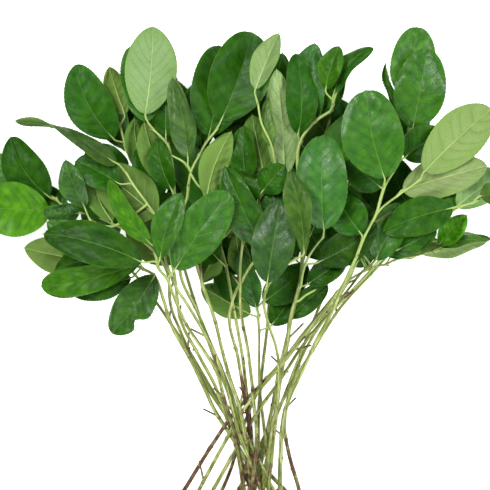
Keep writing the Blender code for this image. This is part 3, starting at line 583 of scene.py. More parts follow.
def leaf_faces(rings):
    """The triangles of a loft of six-point sections, alike on its two faces."""
    faces = []
    for i in range(rings - 1):
        a, b = i * RING, (i + 1) * RING
        faces += [(a, a + 1, b + 1), (a, b + 1, b), (a + 1, a + 2, b + 1), (a + 2, b + 2, b + 1)]
        faces += [(a + 4, a + 5, b + 4), (a + 5, b + 5, b + 4)]
        faces += [(a + 3, a + 4, b + 4), (a + 3, b + 4, b + 3)]
        faces += [(a + 2, a + 3, b + 3), (a + 2, b + 3, b + 2), (a + 5, a, b), (a + 5, b, b + 5)]
    last = (rings - 1) * RING
    for j, k, m in ((0, 5, 1), (1, 5, 4), (1, 4, 2), (2, 4, 3)):
        faces += [(j, k, m), (last + j, last + m, last + k)]
    return faces


# A leaf's first two sections are its petiole's, and all the others its blade's
LEAF_FACES = leaf_faces(len(STATIONS) + 1)
BLADE_FACES = [face for face in LEAF_FACES if min(face) >= 2 * RING]


def leaf_points(leaf, grow=0.0):
    """The corners of the leaf: its petiole from inside the stem, then its blade."""
    axis, side, normal = leaf_frame(leaf, BLADE_T)
    top = blade_places(leaf, BLADE_T, BLADE_ACROSS)
    top[:, 0] += side[:, 0] * grow
    top[:, 2] -= side[:, 0] * grow
    top += normal * grow
    thick = THICK * math.sqrt(1 + leaf["fold"] ** 2) + 2 * grow
    drop = np.repeat(thick, len(STATIONS))[:, None] + np.array([0, 1, 0]) * RIB * (1 - BLADE_T)
    below = top - drop[..., None] * normal
    sections = np.concatenate([top, below[:, ::-1]], axis=1)
    slope = unit(leaf["base"] - leaf["root"])
    flat = unit(side[0, 0] - slope * (side[0, 0] @ slope))
    up = np.cross(slope, flat)
    half, thick = PETIOLE_HALF + grow, PETIOLE_THICK / 2 + grow
    section = np.array([flat * half * x + up * thick * y for x, y in PETIOLE_SECTION])
    root = leaf["root"] + section
    points = np.vstack([root[None], sections]).reshape(-1, 3)
    points[-RING:] += axis * grow
    return points


def tree_of(points, faces):
    return BVHTree.FromPolygons(points.tolist(), faces)


def boxes_meet(low, high, other_low, other_high):
    return (low <= other_high).all() and (high >= other_low).all()


class Heap:
    """What has been placed so far, as trees that can be tested for crossing."""

    def __init__(self):
        self.stems, self.leaves = [], []

    def add_stem(self, owner, points, faces):
        self.stems.append((owner, points.min(axis=0), points.max(axis=0), tree_of(points, faces)))

    def add_leaf(self, owner, leaf):
        points = leaf_points(leaf)
        trees = tree_of(points, LEAF_FACES), tree_of(points, BLADE_FACES)
        self.leaves.append((owner, points.min(axis=0), points.max(axis=0), trees))

    def free(self, owner, leaf):
        """Whether the leaf crosses nothing but, by its petiole, its own sprig's wood."""
        points = leaf_points(leaf, GROW)
        low, high = points.min(axis=0), points.max(axis=0)
        if low[2] < FLOOR_GAP:
            return False
        whole, blade = tree_of(points, LEAF_FACES), tree_of(points, BLADE_FACES)
        for other, *box, tree in self.stems:
            if boxes_meet(low, high, *box) and (blade if other == owner else whole).overlap(tree):
                return False
        for other, *box, (other_whole, other_blade) in self.leaves:
            if not boxes_meet(low, high, *box):
                continue
            if blade.overlap(other_whole) or whole.overlap(other_blade):
                return False
            if other != owner and whole.overlap(other_whole):
                return False
        return True


def effort(value, scale):
    """How much a change costs. Leaves are set from the top down, so going up costs more."""
    rising = UP_COST if value > 0 and scale < SIDEWAYS else 1
    return (rising * value / scale) ** 2


def spreads(*ranges):
    """Changes to try, those that change least first."""
    tries = [()]
    for scale, values in ranges:
        tries = [done + ((value, scale),) for done in tries for value in values]
    tries.sort(key=lambda changes: sum(effort(value, scale) for value, scale in changes))
    return [tuple(value for value, _ in changes) for changes in tries]


# What may be changed to set a leaf free, with the change that counts as one: its lift in
# millimetres, and its pitch, its roll and its turn on the sheet in degrees
DRAWN_TRIES = spreads(
    (7, (0, 3, -3, 6, -6, 10, -10, 14, -14, 19, -19, 25)),
    (8, (0, 5, -5, 10, -10, 16, -16, 24)),
    (SIDEWAYS, (0, 12, -12, 24, -24)),
    (SIDEWAYS, (0, 5, -5, 10, -10)),
)[:DRAWN_MOST]
FILL_CHANGES = spreads(
    (8, (0, 4, -4, 9, -9, 15)),
    (10, (0, 8, -8, 16, -16, 26, -26)),
)


def turned(way, degrees):
    """A direction on the sheet, turned to the left."""
    angle = math.radians(degrees)
    return np.array([
        way[0] * math.cos(angle) - way[1] * math.sin(angle),
        way[0] * math.sin(angle) + way[1] * math.cos(angle),
    ])


def habit(base, tip):
    """How a leaf at this place departs from a plain flat one."""
    draw = random.Random(int(base[0] * HABIT_SEED[0] + tip[1] * HABIT_SEED[1]))
    return {
        "widest": draw.uniform(*WIDEST),
        "round": draw.uniform(*TIP_ROUND),
        "arch": draw.uniform(*ARCH),
        "fold": draw.uniform(*FOLD),
        "bend": draw.uniform(*BEND),
        "wave": draw.uniform(*WAVE),
        "phase": draw.uniform(0, 2 * math.pi),
        "twist": 0,
        "bite": (1, 0, 0, 1),
    }


def set_leaf(sprig, base, tip, width, roll, pitch, own, changes, heap):
    """The leaf, set free of all others by the first change that does it, or None."""
    base, tip = on_sheet([base, tip])
    shape = {**habit(base, tip), **own}
    shape["twist"] = math.radians(shape["twist"])
    stems = [stem["points"] for stem in sprig["stems"]]
    rooting = np.vstack([points[points[:, 1] > -ROOTING_Y] for points in stems])
    root = nearest(rooting, base - unit(tip - base) * PETIOLE)
    from_root = base - root[:2]
    base = root[:2] + unit(from_root) * min(np.linalg.norm(from_root), PETIOLE_MOST)
    for change in changes:
        lift, tilt, turn, yaw = (*change, 0, 0)[:4]
        reach = np.linalg.norm(tip - base)
        low = root[2] + LIFT + lift
        high = low + reach * math.tan(math.radians(pitch + tilt))
        leaf = {
            "root": root,
            "base": np.array([*base, low]),
            "tip": np.array([*(base + turned(tip - base, yaw)), high]),
            "width": width,
            "roll": math.radians(roll + turn),
            **shape,
        }
        if heap.free(sprig["name"], leaf):
            return leaf
    return None


def lowered(sprig, leaf, heap):
    """The leaf, with its tip let down until it nearly touches what lies below."""
    best = leaf
    for _ in range(LOWER_TRIES):
        trial = dict(best)
        trial["tip"] = best["tip"] - LOWER_STEP * UP
        if not heap.free(sprig["name"], trial):
            break
        best = trial
    return best


def inside(outline, place):
    crossings = 0
    for (ax, ay), (bx, by) in zip(outline, outline[1:] + outline[:1]):
        if (ay > place[1]) != (by > place[1]):
            crossings += place[0] < ax + (place[1] - ay) * (bx - ax) / (by - ay)
    return crossings % 2 == 1


def filling_leaves(sprig, draw, heap):
    """Leaves on alternate sides of a stem at the back, let down on what lies below."""
    path = sprig["stems"][0]["points"]
    leafy = path[path[:, 1] > -LEAFY_Y - PETIOLE]
    along = lengths(leafy)
    side = 1
    for place in np.arange(FILL_SPACING, along[-1] + 1, FILL_SPACING):
        index = int(np.argmin(np.abs(along - place)))
        last = min(index + HEADING_STEPS, len(leafy) - 1)
        ahead = unit((leafy[last] - leafy[max(index - HEADING_STEPS, 0)])[:2])
        for _ in range(FILL_TRIES):
            leaf = filling_leaf(sprig, leafy[index][:2], ahead, side, draw, heap)
            if leaf:
                keep_leaf(sprig, lowered(sprig, leaf, heap), heap)
                break
        side = -side


def filling_leaf(sprig, root, ahead, side, draw, heap):
    """One leaf at random on one side of the stem, or None where it leaves the crown."""
    way = turned(ahead, side * draw.uniform(*FILL_ANGLES))
    length = draw.uniform(*FILL_LENGTHS)
    base = root + way * PETIOLE
    tip = base + way * length
    places = [tip + way * FILL_MARGIN]
    for share, half in FILL_FLANKS:
        middle, flank = base + way * length * share, turned(way, 90) * length * half
        places += [middle + flank, middle - flank]
    if not all(inside(CROWN, (x, -y)) for x, y in places):
        return None
    turn = 180 if draw.random() < FILL_TURNED else 0
    leaf = set_leaf(
        sprig, (base[0], -base[1]), (tip[0], -tip[1]), length * draw.uniform(*FILL_SLIMNESS),
        turn + draw.uniform(*FILL_ROLLS), draw.uniform(*FILL_PITCHES), {},
        FILL_CHANGES[:FILL_MOST], heap,
    )
    if leaf:
        leaf["look"] = "olive" if turn else draw.choice(FILL_LOOKS)
    return leaf


def keep_leaf(sprig, leaf, heap):
    heap.add_leaf(sprig["name"], leaf)
    sprig["leaves"].append(leaf)


def grow_stems(heap):
    """Every sprig with its stems, each laid over those before it."""
    laid, sprigs = [], []
    for name, (first, last, points, twigs, _) in SPRIGS.items():
        stem = main_stem((first, last), GIRTHS.get(name, OTHER_GIRTH), points, laid)
        stems = [stem] + [twig(height, places, stem) for height, places in twigs]
        laid += stems
        sprigs.append({"name": name, "stems": stems, "leaves": []})
        for part in stems:
            heap.add_stem(name, *tube(part))
    return sprigs


def grow_bunch():
    """Every sprig with its stems and leaves, each clear of all the others."""
    heap = Heap()
    sprigs = grow_stems(heap)
    for sprig in reversed(sprigs):
        for base, tip, width, roll, pitch, look, *own in SPRIGS[sprig["name"]][4]:
            own = own[0] if own else {}
            leaf = set_leaf(sprig, base, tip, width, roll, pitch, own, DRAWN_TRIES, heap)
            if leaf:
                leaf["look"] = look
                keep_leaf(sprig, leaf, heap)
    draw = random.Random(FILL_SEED)
    for sprig in sprigs:
        if sprig["name"] in FILLED:
            filling_leaves(sprig, draw, heap)
    return sprigs


# Fine blades, in millimetres and in shares of the blade
ALONG_STEPS = 56
COLUMNS = (0.0, 0.045, 0.13, 0.26, 0.41, 0.57, 0.73, 0.88, 1.0)
BLADE_THICK = 0.45
THIN_SHARE = 0.4
THIN_REACH = 3.0
END_EASE = 0.085
POINT_REACH = 2.2
POINT_START = 4.5
POINT_HALF = 1.5
POINT_END_SHARE = 0.08
HALF_LEAST = 0.12
BASE_END = 0.02
TOOTH = 0.22
TOOTH_REACH = 4.0
FIRST_VEIN = 0.05
VEIN_SPACES = (0.125, 0.165)
VEIN_RISES = (0.22, 0.34)
VEIN_CURVE = 1.35
VEIN_STRAY = 0.16
VEIN_DEPTH = 0.8
VEIN_WIDTH = 1.7
FLAT_EDGE = 0.22
FLAT_RIB = 3.0
MIDRIB_DEPTH = 0.5
MIDRIB_WIDTH = 1.1
RIB_DEPTH = 0.75
RIB_FALL = 0.8
RIB_WIDTH = 0.75
UNDER_VEIN = 0.3
EDGE_DROP = 0.7
EDGE_CURVE = 5
EDGE_REACH = 8.0
PUCKER = 0.34
SWELL = 0.9

# A blade's kinds of face, in the order of its piece's materials, and the looks that are glossy
SATIN_SLOT, GLOSSY_SLOT, UNDER_SLOT, PETIOLE_SLOT = range(4)
GLOSSY_LOOKS = ("blue", "mid", "light", "pale")

# Colours of the leaves' faces, as linear values, and how far a leaf departs from them
FACES = {
    "dark": (0.018, 0.098, 0.002),
    "mid": (0.036, 0.150, 0.005),
    "bright": (0.066, 0.225, 0.006),
    # This look's bluish green is partly the leaf's own colour and partly painted sheen
    "blue": (0.038, 0.140, 0.018),
    "olive": (0.070, 0.138, 0.020),
    "light": (0.116, 0.212, 0.040),
    "pale": (0.222, 0.325, 0.120),
}
HIDDEN_UPPER = "mid"
HIDDEN_UNDER = "olive"
COLOUR_SHIFTS = ((0.88, 1.14), (0.93, 1.08), (0.85, 1.15))

# How light some leaves are against their look, by their number on the sprig: partly their own tone,
# and partly painted shade on leaves that lie in shadow and painted sheen on leaves that shine
TONES_AND_PAINTED_LIGHT = {
    "sprig_left_gloss": {2: 0.70},
    "sprig_crown_right": {2: 0.62, 5: 1.20, 6: 0.52, 7: 0.75},
    "sprig_left_edge": {2: 1.30},
    "sprig_back_crown_left": {1: 1.25},
    "sprig_right_upper": {1: 1.40},
    "sprig_pale_centre": {1: 1.40},
    "sprig_left_twisted": {0: 0.90, 1: 0.70},
    "sprig_centre_top": {1: 0.68},
    "sprig_centre_upper": {0: 0.72},
    "sprig_dark_top": {2: 0.66},
    "sprig_left_low": {0: 0.90, 1: 0.85},
    "sprig_right_low": {0: 1.45},
}

# Petioles: the stretch from the stem to the blade, and the rib that they end in under it
PETIOLE_SIDES = 8
PETIOLE_RINGS = 9
PETIOLE_RADIUS = 0.85
PETIOLE_FOOT = 1.25
PETIOLE_FOOT_FALL = 5
PETIOLE_FOOT_RINGS = 4
PETIOLE_RING_STEP = 1.3
PETIOLE_LEAN = 0.5
PETIOLE_DROP = 0.3
RIB_PLACES = (0.05, 0.12)
RIB_DROPS = (0.75, 0.9)
RIB_RADII = (0.62, 0.3)
FOOT_BROWN = (0.0, 0.55)

# Fine stems, in millimetres
STEM_SIDES = 10
PLUMP = 0.36
JOINT_SWELL = 0.32
JOINT_REACH = 2.0
ROOT_REACH = 0.5
BARE_SPACING = (30, 70)
BARE_END = 12
ZIGZAG = 0.55
TIP_BUD = 1.7
TIP_BUD_SUNK = 0.4
BUD_SIDES = 6
BUD_PROFILE = ((-0.15, 0.55), (0.1, 0.9), (0.4, 1.0), (0.7, 0.7), (0.92, 0.3), (1.0, 0.06))
BUD_LENGTH = 1.9
BUD_SIZES = (1.1, 1.7)
BUD_LEAN = 0.45
BUD_SUNK_SHARE = 0.85
STUB_SHARE = 0.38
STUB_LENGTHS = (4.0, 24.0)
STUB_LEANS = (0.5, 0.9)
STUB_RADII = (1.15, 0.8)
STUB_RINGS = 5
STUB_FOOT = 0.3
TURN_MARGIN = 0.3

# How brown buds and stubs are at their foot, and how much more with each ring
TIP_BUD_BROWN = (0.15, 0.1)
LEAF_BUD_BROWN = (0.1, 0.09)
SCAR_BUD_BROWN = (0.55, 0.09)
STUB_BROWN = (0.35, 0.16)
TIP_BUD_STEP = 0.5
SIDE_STEP = 0.8

# How far up from the cut the brown wood reaches on a sprig's stem, and how brown it is
WOOD = {
    "sprig_right_upper": (205, 1.0), "sprig_right_pale": (130, 0.6), "sprig_right_outer": (90, 0.7),
    "sprig_centre_upper": (225, 0.95), "sprig_pale_centre": (210, 0.85), "sprig_back_upper": (220, 0.9),
    "sprig_dark_top": (200, 0.85), "sprig_left_gloss": (180, 0.8), "sprig_left_twisted": (190, 0.8),
    "sprig_back_crown_left": (200, 0.8), "sprig_centre_low": (200, 0.75), "sprig_crown_right": (120, 0.5),
    "sprig_centre_top": (150, 0.7), "sprig_back_centre": (190, 0.6), "sprig_round_right": (120, 0.4),
}
OTHER_WOOD = (165, 0.6)
WOOD_START = 1.25
WOOD_FALL = 0.6

# Brown at the scars of old leaves, and in one stretch that starts at a share of the stem
SCAR_BROWN = (0.1, 0.6)
SCAR_REACH = (1.0, 2.2)
STRETCH_START = (0.2, 0.6)
STRETCH_BROWN = (0.0, 0.6)
STRETCH_REACH = (14, 40)

# Where on a stem the bark is as fresh as on petioles and twigs
FRESH_PLACE = 410.0

# No point comes nearer to the floor than this, in metres
FLOOR_CLEAR = 0.00005

# Edges sharper than these many degrees stay sharp
BLADE_SMOOTH = 62
STEM_SMOOTH = 50


def unit_rows(rows):
    return rows / np.maximum(np.linalg.norm(rows, axis=-1, keepdims=True), TINY)


def between(limits, share):
    """The value at a share of the way from the lower limit to the upper."""
    return limits[0] + (limits[1] - limits[0]) * share


def hump(places, middle, reach):
    """1 at the middle, and less away from it."""
    return np.exp(-(((places - middle) / reach) ** 2))


def stations():
    """Shares of the blade's length, closer together at its two ends."""
    even = np.linspace(0, 1, ALONG_STEPS + 1)
    return even - END_EASE * np.sin(2 * np.pi * even)


FINE_T = stations()[:, None]
FINE_ACROSS = np.array([-place for place in COLUMNS[:0:-1]] + list(COLUMNS))[None]
TEETH = np.where(np.arange(len(FINE_T)) % 2 == 0, 1.0, -1.0)[:, None] * (np.abs(FINE_ACROSS) == 1)


def blade_quads():
    """The faces of a thin closed blade: upper, under and rim, with the kind of each."""
    rows, columns = len(FINE_T), FINE_ACROSS.size
    upper = np.arange(rows * columns).reshape(rows, columns)
    under = upper + rows * columns

    def quads(a, b, c, d):
        return np.stack([a.ravel(), b.ravel(), c.ravel(), d.ravel()], axis=1)

    top = quads(upper[:-1, :-1], upper[1:, :-1], upper[1:, 1:], upper[:-1, 1:])
    bottom = quads(under[:-1, :-1], under[:-1, 1:], under[1:, 1:], under[1:, :-1])
    rim = [
        quads(upper[:-1, -1], upper[1:, -1], under[1:, -1], under[:-1, -1]),
        quads(upper[1:, 0], upper[:-1, 0], under[:-1, 0], under[1:, 0]),
        quads(upper[-1, 1:], upper[-1, :-1], under[-1, :-1], under[-1, 1:]),
        quads(upper[0, :-1], upper[0, 1:], under[0, 1:], under[0, :-1]),
    ]
    faces = np.vstack([top, bottom, *rim])
    kinds = np.full(len(faces), UNDER_SLOT)
    kinds[: len(top)] = SATIN_SLOT
    return faces.tolist(), kinds


BLADE_QUADS, BLADE_KINDS = blade_quads()


# Below, a leaf's seed runs from 0 to 1, and the numbers that multiply it set the leaves apart


def vein_rows(t, across, seed):
    """How many side veins lie between the blade's base and each place, no two leaves alike."""
    rise = between(VEIN_RISES, seed * 7 % 1) * np.abs(across) ** VEIN_CURVE
    rows = (t - rise - FIRST_VEIN) / between(VEIN_SPACES, seed * 13 % 1)
    stray = np.sin(seed * 50 + rows * 2.1 + 4 * np.sign(across)) + np.sin(seed * 90 + 5 * across)
    return rows + VEIN_STRAY * stray + np.where(across < 0, 0.5, 0.0)


def fine_half(leaf, t, length):
    """Half the blade's width with its short point, its teeth and any bite."""
    half = leaf["width"] / 2 * breadth(leaf, np.minimum(t, 1), FINE_ACROSS)
    from_tip = (1 - t) * length
    narrowing = (from_tip + POINT_REACH) / (POINT_START + POINT_REACH)
    point = np.where(from_tip < POINT_START, POINT_HALF * np.clip(narrowing, POINT_END_SHARE, 1), 0)
    half = np.maximum(half, np.maximum(point, HALF_LEAST))
    half = np.where(t < BASE_END, np.maximum(half, TIP_HALF), half)
    return half + TEETH * TOOTH * np.clip(half / TOOTH_REACH, 0, 1)


def blade_relief(t, off, half, from_vein, seed):
    """How far the upper face stands out, and how much of a side vein each place is."""
    edge = np.abs(FINE_ACROSS)
    field = np.clip((1 - edge) / FLAT_EDGE, 0, 1) * np.clip(off / FLAT_RIB, 0, 1)
    veins = hump(from_vein, 0, VEIN_WIDTH) * field
    pucker = np.sin(seed * 7 + t * 31 + FINE_ACROSS * 2.3) * np.sin(seed + FINE_ACROSS * 6.1 + t * 11)
    swell = np.sin(seed * 40 + t * 9 + FINE_ACROSS * 2.2) * np.cos(seed * 23 + t * 4 - FINE_ACROSS * 3.1)
    relief = -VEIN_DEPTH * veins - MIDRIB_DEPTH * hump(off, 0, MIDRIB_WIDTH)
    relief = relief + (PUCKER * pucker + SWELL * swell) * field
    return relief - EDGE_DROP * edge**EDGE_CURVE * np.clip(half / EDGE_REACH, 0, 1), veins


def fine_blade(leaf, seed):
    """The blade's points, upper face first, with what the materials read of each."""
    length = np.linalg.norm(leaf["tip"] - leaf["base"])
    t = FINE_T * (1 + POINT_REACH / length)
    half = fine_half(leaf, t, length)
    plain = np.maximum(leaf["width"] / 2 * breadth(leaf, t, FINE_ACROSS), TIP_HALF)
    normal = leaf_frame(leaf, t)[2]
    smooth = blade_places(leaf, t, FINE_ACROSS * half / plain)
    off = np.abs(FINE_ACROSS) * half
    rows = vein_rows(t, FINE_ACROSS, seed)
    from_vein = np.abs(rows - np.round(rows)) * VEIN_SPACES[0] * length
    relief, veins = blade_relief(t, off, half, from_vein, seed)
    upper = smooth + relief[..., None] * normal
    rib = RIB_DEPTH * (1 - RIB_FALL * t) * hump(off, 0, RIB_WIDTH)
    thick = BLADE_THICK * np.clip(half / THIN_REACH, THIN_SHARE, 1) + rib + UNDER_VEIN * veins
    under = upper - thick[..., None] * normal
    points = np.vstack([upper.reshape(-1, 3), under.reshape(-1, 3)])
    full = np.ones(off.shape)
    place = np.stack([FINE_ACROSS * full, t * full, seed * full], axis=-1).reshape(-1, 3)
    measure = np.stack([np.sign(FINE_ACROSS) * off, t * length * full, rows], axis=-1).reshape(-1, 3)
    return points, np.vstack([place, place]), np.vstack([measure, measure])


def pipe(points, radii, sides):
    """A closed tube round the points: its corners, its faces, and where each corner is on it.

    That place is the cosine and the sine of the way round, and the number of the ring.
    """
    along = np.gradient(points, axis=0)
    side = unit_rows(np.cross(UP[None], along))
    over = unit_rows(np.cross(along, side))
    angles = np.arange(sides) * 2 * np.pi / sides
    ring = np.cos(angles)[None, :, None] * side[:, None] + np.sin(angles)[None, :, None] * over[:, None]
    verts = (points[:, None] + np.asarray(radii)[:, None, None] * ring).reshape(-1, 3)
    verts = np.vstack([verts, points[:1], points[-1:]])
    grid = np.arange(len(points) * sides).reshape(len(points), sides)
    after = np.roll(grid, -1, axis=1)
    first, last = len(points) * sides, len(points) * sides + 1
    faces = np.stack([grid[:-1], after[:-1], after[1:], grid[1:]], axis=-1).reshape(-1, 4).tolist()
    faces += [(first, b, a) for a, b in zip(grid[0].tolist(), after[0].tolist())]
    faces += [(last, a, b) for a, b in zip(grid[-1].tolist(), after[-1].tolist())]
    turns = np.concatenate([np.tile(angles, len(points)), [0, 0]])
    rings = np.concatenate([np.repeat(np.arange(len(points)), sides), [0, len(points) - 1]])
    return verts, faces, np.stack([np.cos(turns), np.sin(turns), rings], axis=1)


def skin_values(skin, along, brown, seed):
    """What the bark's material reads: the place along in millimetres, how brown, and round."""
    looks = np.stack([along, brown, seed + 0 * along], axis=1)
    return {"stem_looks": looks, "stem_skin": np.column_stack([skin[:, :2], along])}


def hermite(start, end, leave, arrive, count):
    """A smooth line from start to end, by the way that it leaves and arrives."""
    s = np.linspace(0, 1, count)[:, None]
    return (
        (2 * s**3 - 3 * s**2 + 1) * start
        + (s**3 - 2 * s**2 + s) * leave
        + (-2 * s**3 + 3 * s**2) * end
        + (s**3 - s**2) * arrive
    )


def fine_petiole(leaf, ahead):
    """The leaf's stalk, from inside the stem to under the blade, where it becomes the rib."""
    axis, _, normal = leaf_frame(leaf)
    reach = np.linalg.norm(leaf["base"] - leaf["root"])
    leave = unit(unit(leaf["base"] - leaf["root"]) + PETIOLE_LEAN * ahead) * reach
    end = leaf["base"] - PETIOLE_DROP * normal
    bent = hermite(leaf["root"], end, leave, axis * reach, PETIOLE_RINGS)
    rib = blade_places(leaf, np.array(RIB_PLACES)[:, None], np.zeros((1, 1)))[:, 0]
    rib = rib - np.array(RIB_DROPS)[:, None] * normal
    share = np.linspace(0, 1, PETIOLE_RINGS)
    radii = PETIOLE_RADIUS + (PETIOLE_FOOT - PETIOLE_RADIUS) * np.exp(-share * PETIOLE_FOOT_FALL)
    return pipe(np.vstack([bent, rib]), np.concatenate([radii, RIB_RADII]), PETIOLE_SIDES)


class Shape:
    """A mesh that is gathered piece by piece, with the values that its materials read."""

    def __init__(self, *values):
        self.verts, self.faces, self.kinds = [], [], []
        self.values = {name: [] for name in values}
        self.count = 0

    def add(self, verts, faces, kinds, **values):
        self.faces += [[corner + self.count for corner in face] for face in faces]
        self.kinds += np.broadcast_to(kinds, len(faces)).tolist()
        self.verts.append(verts)
        for name, rows in self.values.items():
            rows.append(np.broadcast_to(np.asarray(values.get(name, 0), float), (len(verts), 3)))
        self.count += len(verts)

    def build(self, name, materials, smooth_angle):
        points = (np.vstack(self.verts) * MM) + BUNCH
        points[:, 2] = np.maximum(points[:, 2], FLOOR_CLEAR)
        mesh = bpy.data.meshes.new(name)
        mesh.from_pydata(points.tolist(), [], self.faces)
        for material in materials:
            mesh.materials.append(material)
        mesh.polygons.foreach_set("material_index", np.array(self.kinds, np.int32))
        for key, rows in self.values.items():
            layer = mesh.attributes.new(key, "FLOAT_VECTOR", "POINT")
            layer.data.foreach_set("vector", np.vstack(rows).astype(np.float32).ravel())
        mesh.shade_smooth()
        mesh.set_sharp_from_angle(angle=math.radians(smooth_angle))
        return shown(name, mesh)


def shown(name, data):
    """A new object in the scene."""
    obj = bpy.data.objects.new(name, data)
    bpy.context.scene.collection.objects.link(obj)
    return obj


def face_colours(leaf, draw):
    """The colours of the leaf's two faces: the look is the face that is turned up."""
    look = FACES[leaf["look"]]
    faces_down = math.cos(leaf["roll"]) < 0
    upper = FACES[HIDDEN_UPPER] if faces_down else look
    under = look if faces_down else FACES[HIDDEN_UNDER]
    return np.array([upper, under]) * np.array([draw.uniform(*limits) for limits in COLOUR_SHIFTS])


def stem_heading(sprig, root):
    """The direction in which the stem runs on from the leaf's root."""
    best = min(sprig["stems"], key=lambda stem: np.linalg.norm(stem["points"] - root, axis=1).min())
    points = best["points"]
    index = int(np.argmin(np.linalg.norm(points - root, axis=1)))
    return unit(points[min(index + 2, len(points) - 1)] - points[max(index - 2, 0)])


def leaves_piece(sprig, materials):
    """The sprig's blades and petioles."""
    shape = Shape("blade", "blade_mm", "leaf_colour", "stem_looks", "stem_skin")
    draw = random.Random(sprig["name"])
    face_size = FINE_T.size * FINE_ACROSS.size
    tones_and_painted_light = TONES_AND_PAINTED_LIGHT.get(sprig["name"], {})
    for number, leaf in enumerate(sprig["leaves"]):
        seed = draw.random()
        # The tone factor lays painted shade and painted sheen into some leaves' colours, besides their
        # own tone
        colours = tones_and_painted_light.get(number, 1.0) * face_colours(leaf, draw)
        points, place, measure = fine_blade(leaf, seed)
        colour = np.repeat(colours, face_size, axis=0)
        kinds = BLADE_KINDS
        if leaf["look"] in GLOSSY_LOOKS:
            kinds = np.where(kinds == SATIN_SLOT, GLOSSY_SLOT, kinds)
        shape.add(points, BLADE_QUADS, kinds, blade=place, blade_mm=measure, leaf_colour=colour)
        verts, faces, skin = fine_petiole(leaf, stem_heading(sprig, leaf["root"]))
        foot = np.clip(1 - skin[:, 2] / PETIOLE_FOOT_RINGS, 0, 1) * draw.uniform(*FOOT_BROWN)
        values = skin_values(skin, FRESH_PLACE + skin[:, 2] * PETIOLE_RING_STEP, foot, seed)
        shape.add(verts, faces, PETIOLE_SLOT, **values)
    return shape.build(sprig["name"] + "_leaves", materials, BLADE_SMOOTH)


def bud(place, way, size):
    """A small pointed bud, as a closed tube."""
    points = np.array([place + way * size * BUD_LENGTH * along for along, _ in BUD_PROFILE])
    return pipe(points, [size * 0.5 * wide for _, wide in BUD_PROFILE], BUD_SIDES)


def joint_places(sprig, stem, along, draw):
    """Where the stem has joints: at its leaves, and on bare wood at the scars of old ones."""
    leafy = []
    for leaf in sprig["leaves"]:
        apart = np.linalg.norm(stem["points"] - leaf["root"], axis=1)
        if apart.min() < ROOT_REACH:
            leafy.append(along[np.argmin(apart)])
    bare, place = [], draw.uniform(*BARE_SPACING)
    limit = min(leafy, default=along[-1]) - BARE_END
    while place < limit:
        bare.append(place)
        place += draw.uniform(*BARE_SPACING)
    return leafy, bare


def zigzagged(points, along, places):
    """The stem's line, which steps a little from side to side at its joints."""
    turns = np.concatenate([[0], places, [along[-1]]])
    steps = np.where(np.arange(len(turns)) % 2 == 0, ZIGZAG, -ZIGZAG)
    steps[0] = steps[-1] = 0
    side = unit_rows(np.cross(UP[None], np.gradient(points, axis=0)))
    return points + np.interp(along, turns, steps)[:, None] * side


def wood_share(name, is_twig, along, bare, draw):
    """How brown and woody the stem is along its length, from 0 to 1."""
    wood = np.zeros(len(along))
    for place in bare:
        wood += draw.uniform(*SCAR_BROWN) * hump(along, place, draw.uniform(*SCAR_REACH))
    if not is_twig:
        reach, brown = WOOD.get(name, OTHER_WOOD)
        wood += brown * np.clip(WOOD_START - along / reach, 0, 1) ** WOOD_FALL
        stretch = draw.uniform(*STRETCH_START) * along[-1]
        wood += draw.uniform(*STRETCH_BROWN) * hump(along, stretch, draw.uniform(*STRETCH_REACH))
    return np.clip(wood, 0, 1)


def stem_piece(sprig, materials):
    """The sprig's stem and twigs, with joints, buds, scars and short cut side shoots."""
    shape = Shape("stem_looks", "stem_skin")
    draw = random.Random(sprig["name"] + " wood")
    for number, stem in enumerate(sprig["stems"]):
        along = lengths(stem["points"])
        radius = stem["radius"] + PLUMP * (1 - along / along[-1])
        leafy, bare = joint_places(sprig, stem, along, draw)
        swell = np.zeros(len(along))
        for place in leafy + bare:
            swell += JOINT_SWELL * hump(along, place, JOINT_REACH)
        wood = wood_share(sprig["name"], number > 0, along, bare, draw)
        seed = draw.random()
        points = zigzagged(stem["points"], along, sorted(leafy + bare))
        verts, faces, skin = pipe(points, radius + swell, STEM_SIDES)
        rings = skin[:, 2].astype(int)
        start = FRESH_PLACE if number else 0
        shape.add(verts, faces, 0, **skin_values(skin, start + along[rings], wood[rings], seed))
        for place in bare + leafy:
            add_side_growth(shape, points, radius, along, place, place in bare, seed, draw)
        way = unit(points[-1] - points[-3])
        tip_bud = bud(points[-1] - way * TIP_BUD_SUNK, way, radius[-1] * TIP_BUD)
        add_growth(shape, tip_bud, TIP_BUD_STEP, TIP_BUD_BROWN, seed)
    return shape.build(sprig["name"] + "_stem", materials, STEM_SMOOTH)


def add_growth(shape, growth, step, brown, seed):
    """A bud or a stub, with how far apart its rings are in the bark's pattern."""
    verts, faces, skin = growth
    rings = skin[:, 2]
    shape.add(verts, faces, 0, **skin_values(skin, step * rings, brown[0] + brown[1] * rings, seed))


def add_side_growth(shape, points, radius, along, place, bare, seed, draw):
    """A bud in a leaf's axil or over a scar, or the stub of a side shoot on bare wood."""
    index = int(np.clip(np.searchsorted(along, place), 1, len(along) - 2))
    ahead = unit(points[index + 1] - points[index - 1])
    side = unit(np.cross(UP, ahead))
    turn = draw.uniform(-TURN_MARGIN, math.pi + TURN_MARGIN)
    out = math.cos(turn) * side + math.sin(turn) * np.cross(ahead, side)
    if bare and draw.random() < STUB_SHARE:
        length = draw.uniform(*STUB_LENGTHS)
        way = unit(ahead + out * draw.uniform(*STUB_LEANS))
        steps = np.linspace(STUB_FOOT, radius[index] + length, STUB_RINGS)
        path = points[index] + way * steps[:, None]
        growth = pipe(path, np.linspace(*STUB_RADII, STUB_RINGS), BUD_SIDES)
        brown = STUB_BROWN
    else:
        foot = points[index] + out * radius[index] * BUD_SUNK_SHARE
        growth = bud(foot, unit(ahead + BUD_LEAN * out), draw.uniform(*BUD_SIZES))
        brown = SCAR_BUD_BROWN if bare else LEAF_BUD_BROWN
    add_growth(shape, growth, SIDE_STEP, brown, seed)


